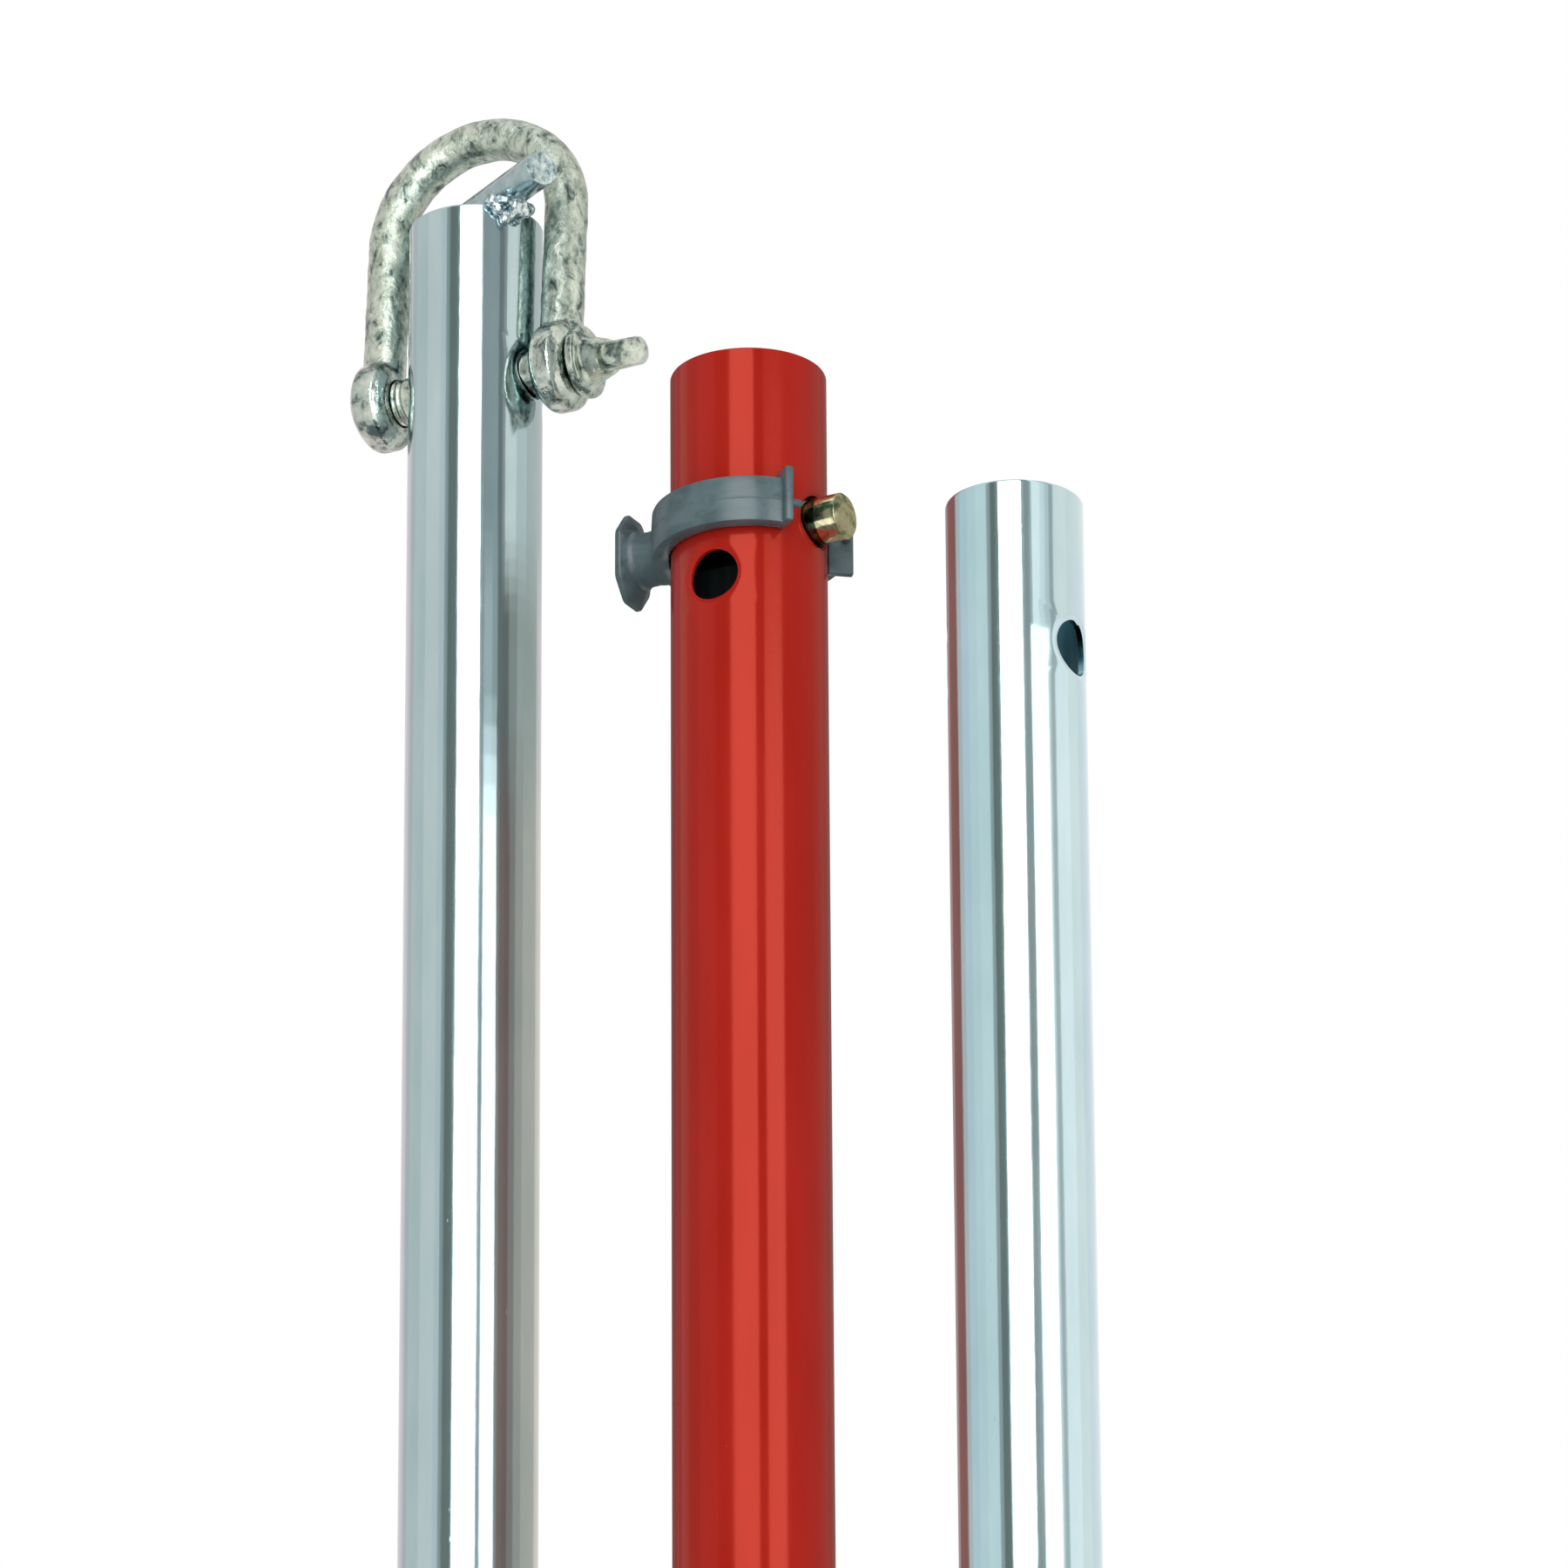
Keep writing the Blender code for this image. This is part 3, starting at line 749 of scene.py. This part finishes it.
def build_shackle_pin():
    tip = SHACKLE_SHIFT - BOW_HALF_WIDTH - EAR_HALF_THICKNESS - 0.4 * MM
    neck = EYE_THICKNESS / 2
    profile = [(0, tip), (PIN_RADIUS - 1.3 * MM, tip), (PIN_RADIUS - 0.8 * MM, tip + 0.6 * MM)]
    profile += thread(tip + 1.0 * MM, tip + 15.0 * MM, 1.5 * MM, 0.55 * MM)
    profile += [(PIN_RADIUS, tip + 16.0 * MM), (PIN_RADIUS, COLLAR_START - 0.3 * MM),
                (PIN_RADIUS + 0.3 * MM, COLLAR_START), (COLLAR_RADIUS - 0.7 * MM, COLLAR_START),
                (COLLAR_RADIUS - 0.15 * MM, COLLAR_START + 0.25 * MM),
                (COLLAR_RADIUS, COLLAR_START + 0.8 * MM), (COLLAR_RADIUS, COLLAR_END - 0.9 * MM),
                (COLLAR_RADIUS - 0.3 * MM, COLLAR_END - 0.3 * MM),
                (COLLAR_RADIUS - 1.0 * MM, COLLAR_END), (7.0 * MM, COLLAR_END + 0.1 * MM),
                (6.3 * MM, COLLAR_END + 0.8 * MM), (5.8 * MM, COLLAR_END + 2.0 * MM),
                (5.2 * MM, COLLAR_END + 3.8 * MM), (4.4 * MM, COLLAR_END + 6.2 * MM),
                (neck, EYE_CENTRE), (0, EYE_CENTRE)]
    pin = turned("shackle_screw_pin", profile, 64, axis="X")
    disc = [(0, -neck), (4.6 * MM, -neck), (5.7 * MM, -neck + 0.5 * MM), (6.5 * MM, -neck + 1.7 * MM),
            (6.8 * MM, 0), (6.5 * MM, neck - 1.7 * MM), (5.7 * MM, neck - 0.5 * MM),
            (4.6 * MM, neck), (0, neck)]
    turn_eye = Matrix.Translation((EYE_CENTRE, 0, 0)) @ Matrix.Rotation(EYE_TWIST, 4, "X")
    eye = place(turned("eye", disc, 48), turn_eye)
    bore = place(rod("eye_bore", EYE_HOLE_RADIUS, -10 * MM, 10 * MM, 40, axis="Z"), turn_eye)
    combine(pin, eye, "UNION")
    combine(pin, bore, "DIFFERENCE")
    voxel_skin(pin, 0.26 * MM, 2)
    roughen(pin, 260.0, 0.05 * MM, 1.9)
    place(reshade(pin, 60.0), SHACKLE_FRAME)
    finish_piece(pin, "shackle_screw", ["shackle_pin"], PIN)


# ---- Stop bar and its welds ----
BAR_FRAME = (Matrix.Translation((middle_of("top_tube").x, middle_of("top_tube").y,
                                 top_of("top_tube") + GAP + BAR_RADIUS))
             @ Matrix.Rotation(BAR_TURN, 4, "Z"))


def bar_end(side):
    """Profile points of one sheared end: a burred edge and a face that is not quite flat."""
    end = side * BAR_HALF_LENGTH
    points = [(0.0, end - side * 0.25 * MM), (1.2 * MM, end - side * 0.10 * MM),
              (2.9 * MM, end - side * 0.20 * MM), (BAR_RADIUS - 0.45 * MM, end),
              (BAR_RADIUS - 0.08 * MM, end - side * 0.15 * MM), (BAR_RADIUS, end - side * 0.6 * MM)]
    return points if side < 0 else list(reversed(points))


def build_stop_bar():
    middle = [(BAR_RADIUS, -BAR_HALF_LENGTH + step * 3.0 * MM) for step in range(1, 21)]
    bar = turned("stop_bar_rod", bar_end(-1) + middle + bar_end(1), 40, axis="X")

    def on_face(point):
        """1 on the sheared end faces, almost nothing along the rod."""
        return 1.0 if abs(point.x) > BAR_HALF_LENGTH - 0.45 * MM else 0.12

    two_finishes(bar, BAR_ZINC, SHEARED, lambda point: abs(point.x) > BAR_HALF_LENGTH - 0.3 * MM)
    roughen(bar, 900.0, 0.22 * MM, 5.3, on_face)
    place(reshade(bar, 45.0), BAR_FRAME)
    finish_piece(bar, "top_section", ["stop_bar"])


def blob(centre, size):
    bm = bmesh.new()
    bmesh.ops.create_icosphere(bm, subdivisions=3, radius=1.0)
    bmesh.ops.scale(bm, vec=size, verts=bm.verts)
    obj = to_object("blob", bm)
    return place(obj, Matrix.Translation(centre))


def build_weld(node, side):
    """A lumpy bead laid in short runs along the bar and over the rim of the pole."""
    reach = radius_of("top_tube")
    drop = -BAR_RADIUS - GAP
    runs = [(0.6, -5.4, 0.2, 2.1), (1.1, -3.6, -1.5, 2.3), (1.3, -1.4, -2.5, 2.4),
            (1.2, 0.9, -1.9, 2.3), (0.9, 2.9, -0.7, 2.3), (0.5, 4.9, 0.5, 1.9),
            (-1.2, -4.2, 1.2, 2.0), (-1.2, 4.0, 1.4, 2.1), (2.1, 0.3, 0.0, 2.2),
            (2.0, -2.3, 0.3, 2.0), (0.8, -1.9, -4.2, 1.6), (0.8, 1.5, -3.6, 1.3),
            (1.6, -3.9, 0.6, 1.5), (1.9, 2.4, 0.9, 1.6)]
    bead = None
    for along, across, up, size in runs:
        centre = (side * (reach + along * 0.8 * MM), across * MM, drop + up * MM)
        lump = blob(centre, (size * 0.85 * MM, size * MM, size * 0.9 * MM))
        bead = combine(bead, lump, "UNION") if bead else lump
    voxel_skin(bead, 0.3 * MM, 2)
    roughen(bead, 520.0, 0.20 * MM, 4.0 + side)
    bead.name = node.replace("stop_bar_weld", "weld_bead")
    combine(bead, rod("clear_bar", BAR_RADIUS + 0.02 * MM, -40 * MM, 40 * MM, 64), "DIFFERENCE")
    place(reshade(bead, 55.0), BAR_FRAME)
    finish_piece(bead, "top_section", [node], WELD)


# ---- Lock clips ----
def clip_frame(label):
    centre = middle_of("middle_tube")
    height = middle_of(f"{label}_lock_pin").z
    return Matrix.Translation((centre.x, centre.y, height)) @ Matrix.Rotation(CLIP_TURN, 4, "Z")


def band_section(half_height):
    """The band's outline as (radius, height) points: rounded edges and a parting line."""
    edge = 0.5 * MM
    ridge, draft = 0.14 * MM, 0.22 * MM
    h = half_height
    outer, inner = CLIP_OUTER, CLIP_INNER
    upper = [(outer + ridge, 0.12 * MM), (outer, 0.30 * MM),
             (outer - 0.5 * draft, 0.5 * h), (outer - draft, h - edge),
             (outer - draft - 0.3 * edge, h - 0.3 * edge), (outer - draft - edge, h),
             (inner + edge, h), (inner + 0.3 * edge, h - 0.3 * edge), (inner, h - edge)]
    return upper + [(radius, -height) for radius, height in reversed(upper)]


def band():
    """The springy C of the clip, taller behind the tab, swept round the pole."""
    stations = 96
    bm = bmesh.new()
    rings = []
    for station in range(stations + 1):
        swing = CLIP_ARM_ANGLE * (2 * station / stations - 1)
        hub = 1.0 - min(1.0, max(0.0, (abs(swing) - math.radians(19)) / math.radians(9)))
        hub = hub * hub * (3 - 2 * hub)
        angle = math.pi + swing
        section = band_section((CLIP_HEIGHT + CLIP_HUB_EXTRA * hub) / 2)
        rings.append([bm.verts.new(polar(radius, angle, height)) for radius, height in section])
    loft(bm, rings)
    return to_object("lock_clip", bm)


def arm_end(flip):
    """The lip across the end of an arm, and the little gate nub on it."""
    end = math.pi + CLIP_ARM_ANGLE
    depth = FLANGE_OUTER - CLIP_INNER
    lip = block("lip", (depth, FLANGE_THICKNESS, CLIP_HEIGHT + FLANGE_STEP), 0.45 * MM)
    lip_matrix = (Matrix.Translation(polar(CLIP_INNER + depth / 2, end, FLANGE_STEP / 2))
                  @ Matrix.Rotation(end, 4, "Z"))
    nub = rod("nub", 1.0 * MM, 0, 3.6 * MM, 24, 0.4 * MM, axis="Z")
    nub_matrix = (Matrix.Translation(polar(NUB_PLACE, end, -0.6 * MM))
                  @ Matrix.Rotation(end, 4, "Z") @ Matrix.Rotation(-math.pi / 2, 4, "X"))
    place(lip, flip @ lip_matrix)
    place(nub, flip @ nub_matrix)
    return [lip, nub]


def clip_neck():
    """The stub between the band and the tab, flared into both."""
    low = -TAB_PLACE
    waist, flare = 6.7 * MM, 7.0 * MM
    profile = [(0, low), (7.4 * MM, low), (7.4 * MM, low + 1.7 * MM), (flare, low + 2.2 * MM),
               (waist, low + 3.2 * MM), (waist, low + 5.8 * MM), (flare, low + 7.2 * MM),
               (flare, low + 10.5 * MM), (0, low + 10.5 * MM)]
    return turned("neck", profile, 56, axis="X")


def clip_tab():
    """The pull tab: an eight-sided plate, thin at its edge and thick round the neck."""
    height, width = 11.8 * MM, 7.6 * MM
    corners = [(-0.42, -1.0), (0.42, -1.0), (1.0, -0.52), (1.0, 0.52),
               (0.42, 1.0), (-0.42, 1.0), (-1.0, 0.52), (-1.0, -0.52)]
    layers = [(-1.9, 0.86), (-1.55, 0.96), (-1.0, 1.0), (-0.2, 1.0), (0.15, 0.97), (1.9, 0.66)]
    bm = bmesh.new()
    rings = []
    for x, share in layers:
        ring = [bm.verts.new((-TAB_PLACE + x * MM, share * width * across, share * height * up))
                for across, up in corners]
        rings.append(ring)
    loft(bm, rings)
    uprights = [edge for edge in bm.edges
                if abs(edge.verts[0].co.x - edge.verts[1].co.x) > 0.01 * MM]
    bmesh.ops.bevel(bm, geom=uprights, offset=0.9 * MM, segments=3, affect="EDGES", profile=0.5)
    return to_object("tab", bm)


def build_clip(label):
    clip = band()
    upright = Matrix.Identity(4)
    over = Matrix.Rotation(math.pi, 4, "X")
    union(clip, arm_end(upright) + arm_end(over) + [clip_neck(), clip_tab()])
    socket = rod("socket", LOCK_PIN_RADIUS + GAP, LOCK_PIN_ROOT - GAP, 10 * MM, 56)
    combine(clip, socket, "DIFFERENCE")
    clip.name = f"{label}_lock_clip"
    place(reshade(clip, 32.0), clip_frame(label))
    nodes = [f"{label}_clip_tab", f"{label}_clip_front_arm", f"{label}_clip_rear_arm"]
    finish_piece(clip, f"{label}_lock", nodes, GREY)


def build_lock_pin(label):
    """The steel pin: a chamfered tip and a faced end with shallow turning rings."""
    radius, tip, chamfer = LOCK_PIN_RADIUS, LOCK_PIN_TIP, 0.8 * MM
    profile = [(0, LOCK_PIN_ROOT), (radius - 0.5 * MM, LOCK_PIN_ROOT),
               (radius, LOCK_PIN_ROOT + 0.5 * MM), (radius, LOCK_PIN_SHADE_END),
               (radius, tip - chamfer - 0.12 * MM),
               (radius - 0.05 * MM, tip - chamfer + 0.05 * MM), (radius - chamfer, tip)]
    for ring in range(5, 0, -1):
        middle = ring / 6 * (radius - chamfer)
        profile += [(middle + 0.25 * MM, tip), (middle, tip - 0.05 * MM)]
    profile.append((0, tip - 0.03 * MM))
    pin = turned(f"{label}_steel_pin", profile, 72, axis="X")
    # the pin's inner part, towards its root, gets the dark finish: painted shade where it sits in the
    # tube and its holes
    two_finishes(pin, YELLOW_ZINC, LOCK_PIN_PAINTED_SHADE, lambda point: point.x < LOCK_PIN_SHADE_END)
    place(reshade(pin, 24.0), clip_frame(label))
    finish_piece(pin, f"{label}_lock", [f"{label}_lock_pin"])


# ---- Studio ----
CARD_DISTANCE = 3.0


def circle_point(azimuth, distance):
    """A point of the floor. Azimuth 0 is in front of the set, and it grows towards +X."""
    angle = math.radians(azimuth)
    return Vector((distance * math.sin(angle), -distance * math.cos(angle), 0.0))


def softbox(name, azimuths, heights, radiance):
    """An upright area light facing the set, with even brightness across it."""
    start, end = (circle_point(azimuth, CARD_DISTANCE) for azimuth in azimuths)
    light = bpy.data.lights.new(name, "AREA")
    light.shape = "RECTANGLE"
    light.size = (end - start).length
    light.size_y = heights[1] - heights[0]
    light.energy = radiance * math.pi * light.size * light.size_y
    obj = bpy.data.objects.new(name, light)
    bpy.context.scene.collection.objects.link(obj)
    middle = (start + end) / 2
    obj.location = (middle.x, middle.y, sum(heights) / 2)
    obj.rotation_euler = Vector((-middle.x, -middle.y, 0.0)).to_track_quat("-Z", "Y").to_euler()
    obj.visible_camera = False


def mirror_only(obj):
    """A studio card that only shows in reflections."""
    obj.visible_camera = False
    obj.visible_diffuse = False
    obj.visible_transmission = False
    obj.visible_volume_scatter = False
    obj.visible_shadow = False


def card_material(name, colour, one_sided=False):
    """An even glow. A one-sided card is clear when seen from behind."""
    material = bpy.data.materials.new(name)
    material.use_nodes = True
    tree = material.node_tree
    tree.nodes.clear()
    glow = tree.nodes.new("ShaderNodeEmission")
    glow.inputs["Color"].default_value = (*colour, 1.0)
    surface = glow.outputs["Emission"]
    if one_sided:
        mix = tree.nodes.new("ShaderNodeMixShader")
        clear = tree.nodes.new("ShaderNodeBsdfTransparent")
        side = tree.nodes.new("ShaderNodeNewGeometry")
        tree.links.new(side.outputs["Backfacing"], mix.inputs["Fac"])
        tree.links.new(surface, mix.inputs[1])
        tree.links.new(clear.outputs["BSDF"], mix.inputs[2])
        surface = mix.outputs["Shader"]
    output = tree.nodes.new("ShaderNodeOutputMaterial")
    tree.links.new(surface, output.inputs["Surface"])
    return material


def arc_card(name, azimuths, heights, colour, centre=(0.0, 0.0), distance=CARD_DISTANCE + 0.02,
             one_sided=False):
    """A curved upright card round one place, facing it."""
    steps = max(1, math.ceil((azimuths[1] - azimuths[0]) / 6))
    bm = bmesh.new()
    columns = []
    for step in range(steps + 1):
        azimuth = azimuths[0] + (azimuths[1] - azimuths[0]) * step / steps
        point = circle_point(azimuth, distance)
        columns.append([bm.verts.new((centre[0] + point.x, centre[1] + point.y, height))
                        for height in heights])
    for column, following in zip(columns, columns[1:]):
        bm.faces.new((following[0], column[0], column[1], following[1]))
    mirror_only(to_object(name, bm, [card_material(name, colour, one_sided)]))


def seen_azimuth(share, radius, distance):
    """Where, round an upright pole, a card stands that it shows at this share of its width."""
    return math.degrees(2 * math.asin(share) - math.asin(share * radius / distance))


def pole_cards(node, distance, levels):
    """One-sided cards close round one pole, which give it reflections of its own.
    Each level is (low, high, bands), and each band (from share, to share, colour)."""
    radius, centre = radius_of(node), middle_of(node)
    for level, (low, high, bands) in enumerate(levels):
        for band, (start, end, colour) in enumerate(bands):
            azimuths = (seen_azimuth(start, radius, distance), seen_azimuth(end, radius, distance))
            arc_card(f"{node}_card_{level}_{band}", azimuths, (low, high), colour, centre,
                     distance, True)


def colour_at(bands, share):
    for start, end, colour in bands:
        if start <= share < end:
            return colour
    return bands[-1][2]


def mixed(bands, others, amount):
    """Bands part of the way from one list to another that spans the same shares."""
    edges = sorted({edge for start, end, _ in bands + others for edge in (start, end)})
    result = []
    for start, end in zip(edges, edges[1:]):
        first, second = (colour_at(each, (start + end) / 2) for each in (bands, others))
        result.append((start, end, tuple(a + (b - a) * amount for a, b in zip(first, second))))
    return result


def fading(low, high, below, above):
    """Levels that pass little by little from the bands below to the bands above."""
    steps = 5
    rise = (high - low) / steps
    return [(low + step * rise, low + (step + 1) * rise, mixed(below, above, (step + 0.5) / steps))
            for step in range(steps)]


WHITE = (2.3, 2.3, 2.3)
TOP_POLE_LEFT = [(-1.00, -0.93, (0.92, 0.82, 0.83)), (-0.93, -0.87, (0.75, 0.71, 0.72)),
                 (-0.87, -0.70, (0.82, 0.83, 0.80)), (-0.70, -0.50, (0.97, 0.94, 0.90)),
                 (-0.50, -0.42, (0.84, 0.87, 0.87)), (-0.42, -0.37, (0.45, 0.50, 0.48))]
TOP_POLE_LOWER = [(0.17, 0.375, WHITE), (0.375, 0.43, (0.44, 0.36, 0.35)),
                  (0.43, 0.50, (0.34, 0.22, 0.19)), (0.50, 0.57, (0.30, 0.19, 0.17)),
                  (0.57, 0.65, (0.39, 0.32, 0.29)), (0.65, 0.75, (0.59, 0.51, 0.46)),
                  (0.75, 0.93, (0.75, 0.64, 0.56)), (0.93, 1.00, (1.00, 0.86, 0.76))]
TOP_POLE_MIDDLE = [(0.17, 0.29, (0.62, 0.68, 0.68)), (0.29, 0.38, (0.48, 0.53, 0.52)),
                   (0.38, 0.47, (0.23, 0.25, 0.24)), (0.47, 0.55, (0.22, 0.22, 0.21)),
                   (0.55, 0.66, (0.42, 0.41, 0.38)), (0.66, 0.93, (0.58, 0.57, 0.51)),
                   (0.93, 1.00, (0.93, 0.80, 0.80))]
TOP_POLE_UPPER = [(0.17, 0.37, (0.42, 0.47, 0.47)), (0.37, 0.45, (0.26, 0.28, 0.28)),
                  (0.45, 0.49, (0.45, 0.46, 0.44)), (0.49, 0.64, (1.10, 1.07, 1.02)),
                  (0.64, 0.78, (0.85, 0.86, 0.83)), (0.78, 1.00, (0.72, 0.72, 0.68))]
MIDDLE_POLE_LEFT = [(-1.00, -0.94, (0.16, 0.16, 0.15)), (-0.94, -0.87, (0.26, 0.26, 0.25)),
                    (-0.87, -0.78, (0.60, 0.60, 0.56)), (0.065, 0.19, (0.10, 0.10, 0.09))]
MIDDLE_POLE_RIGHT = [(0.46, 0.80, (0.30, 0.29, 0.27)), (0.80, 0.92, (0.36, 0.34, 0.30)),
                     (0.92, 1.00, (0.24, 0.22, 0.20))]
BOTTOM_POLE_LEFT = [(-1.00, -0.97, (0.52, 0.34, 0.34)), (-0.97, -0.86, (0.42, 0.16, 0.14)),
                    (-0.86, -0.80, (0.76, 0.74, 0.74)), (-0.80, -0.70, (0.82, 0.92, 0.98)),
                    (-0.70, -0.58, (0.91, 1.02, 1.02)), (-0.58, -0.42, (0.98, 1.10, 1.09)),
                    (-0.42, -0.37, (0.52, 0.56, 0.56)), (0.105, 0.195, (0.46, 0.48, 0.47))]
BOTTOM_POLE_LOWER = [(0.195, 0.455, WHITE), (0.455, 0.485, (1.10, 1.10, 1.05)),
                     (0.485, 0.545, (0.70, 0.74, 0.72)), (0.545, 0.72, (1.40, 1.40, 1.38)),
                     (0.72, 0.85, (1.25, 1.25, 1.20)), (0.85, 1.00, (1.14, 1.14, 1.16))]
BOTTOM_POLE_UPPER = [(0.17, 0.195, (0.45, 0.54, 0.51)), (0.195, 0.225, (0.66, 0.74, 0.75)),
                     (0.225, 0.35, (1.42, 1.42, 1.40)), (0.35, 0.42, (1.15, 1.20, 1.20)),
                     (0.42, 0.48, (0.92, 0.97, 0.96)), (0.48, 0.54, (0.58, 0.64, 0.64)),
                     (0.54, 0.72, (1.25, 1.22, 1.18)), (0.72, 1.00, (1.15, 1.15, 1.13))]


def build_pole_cards():
    """Upright cards round each tube, to heights that a lifted tube stays below."""
    lower, middle, upper, settled, highest = 1.040, 1.080, 1.106, 1.130, 1.330
    levels = [(0.0, highest, TOP_POLE_LEFT), (0.0, lower, TOP_POLE_LOWER)]
    levels += fading(lower, middle, TOP_POLE_LOWER, TOP_POLE_MIDDLE)
    levels.append((middle, upper, TOP_POLE_MIDDLE))
    levels += fading(upper, settled, TOP_POLE_MIDDLE, TOP_POLE_UPPER)
    levels.append((settled, highest, TOP_POLE_UPPER))
    pole_cards("top_tube", 50 * MM, levels)
    highest = 1.160
    pole_cards("middle_tube", 37 * MM, [(0.0, highest, MIDDLE_POLE_LEFT),
                                        (0.0, highest, MIDDLE_POLE_RIGHT)])
    lower, highest = 1.069, 1.230
    pole_cards("bottom_tube", 38 * MM, [(0.0, highest, BOTTOM_POLE_LEFT), (0.0, lower, BOTTOM_POLE_LOWER),
                                        (lower, highest, BOTTOM_POLE_UPPER)])


def ground_card():
    """Low and dark under the set, for the undersides of the round parts."""
    bm = bmesh.new()
    bmesh.ops.create_circle(bm, cap_ends=True, segments=48, radius=1.0)
    obj = to_object("ground_card", bm, [card_material("ground_card", (0.14, 0.17, 0.18))])
    obj.location.z = 1.5 * MM
    mirror_only(obj)


def build_floor():
    bm = bmesh.new()
    bmesh.ops.create_grid(bm, x_segments=2, y_segments=2, size=9.0)
    floor = to_object("floor", bm)
    floor.location.z = -0.2 * MM
    shader = Shader("floor_paper", (0.86, 0.86, 0.85), 0.65, 0.0)
    fibres = shader.noise(60, detail=3.0)
    shader.link(shader.ramp(fibres, [(0.3, (0.84, 0.84, 0.83)), (0.7, (0.87, 0.87, 0.86))]),
                "Base Color")
    floor.data.materials.append(shader.material)


def build_world():
    world = bpy.data.worlds.new("studio")
    world.use_nodes = True
    background = world.node_tree.nodes["Background"]
    background.inputs["Color"].default_value = (1.0, 1.0, 1.0, 1.0)
    background.inputs["Strength"].default_value = 1.0
    bpy.context.scene.world = world
    bpy.context.scene.view_settings.view_transform = "Standard"


FAR_CARDS = [("left_flag", (-50.5, -27.5), (0.0, 4.0), (0.23, 0.26, 0.24)),
             ("gap_flag", (11.0, 19.5), (0.0, 4.0), (0.42, 0.43, 0.41)),
             ("upper_flag", (19.5, 60.0), (2.38, 4.0), (0.40, 0.41, 0.40)),
             ("left_card", (-80.0, -50.5), (0.0, 3.2), (0.68, 0.68, 0.67)),
             ("side_left_card", (-150.0, -80.0), (0.0, 3.2), (0.42, 0.42, 0.41)),
             ("high_left_card", (-150.0, -50.0), (3.2, 6.5), (0.10, 0.11, 0.11)),
             ("right_card", (49.0, 150.0), (0.0, 2.40), (0.30, 0.29, 0.28)),
             ("upper_right_card", (60.0, 150.0), (2.40, 3.2), (0.95, 0.95, 0.93)),
             ("high_right_card", (60.0, 150.0), (3.2, 6.5), (0.16, 0.17, 0.17)),
             ("rear_card", (150.0, 210.0), (0.0, 6.5), (0.60, 0.60, 0.60))]


def build_studio():
    build_floor()
    build_world()
    softbox("key_softbox", (-27.0, 10.5), (0.0, 4.0), 3.0)
    softbox("second_softbox", (20.0, 48.0), (0.0, 2.36), 3.0)
    for name, azimuths, heights, colour in FAR_CARDS:
        arc_card(name, azimuths, heights, colour)
    build_pole_cards()
    ground_card()


def build_camera():
    """A long lens from low in front, tilted up and rolled a touch."""
    pitch, roll = math.radians(23.0), math.radians(-0.357)
    position = (0.0178, -2.3408, 0.0418)
    right = Vector((1, 0, 0))
    up = Vector((0, -math.sin(pitch), math.cos(pitch)))
    forward = Vector((0, math.cos(pitch), math.sin(pitch)))
    tilted_right = right * math.cos(roll) + up * math.sin(roll)
    tilted_up = up * math.cos(roll) - right * math.sin(roll)
    camera_data = bpy.data.cameras.new("camera")
    camera_data.lens = 240.0
    camera_data.sensor_width = 36.0
    camera = bpy.data.objects.new("camera", camera_data)
    bpy.context.scene.collection.objects.link(camera)
    axes = Matrix((tilted_right, tilted_up, -forward)).transposed().to_4x4()
    camera.matrix_world = Matrix.Translation(position) @ axes
    bpy.context.scene.camera = camera


# ---- The whole set ----
ZINC = zinc_tube()
# the red tube's inside: streaked steel painted near black as painted shade
BORE = bore_steel_painted_shade()
ZINC_BORE = bore_zinc()
RED = red_paint()
FORGED = forged_zinc()
PRESSED = pressed_zinc()
PIN = pin_zinc()
BAR_ZINC = bar_zinc()
SHEARED = sheared_zinc()
WELD = weld_metal()
GREY = grey_plastic()
YELLOW_ZINC = yellow_zinc()
# the lock pin's dark inner finish, which is painted shade
LOCK_PIN_PAINTED_SHADE = lock_pin_painted_shade()
BLACK = black_plastic()

build_camera()
build_studio()
build_top_pole()
build_middle_pole()
build_bottom_pole()
build_end_plug()
build_bow()
build_shackle_pin()
build_stop_bar()
build_weld("stop_bar_weld_front", 1)
build_weld("stop_bar_weld_rear", -1)
for clip_label in ("upper", "lower"):
    build_clip(clip_label)
    build_lock_pin(clip_label)
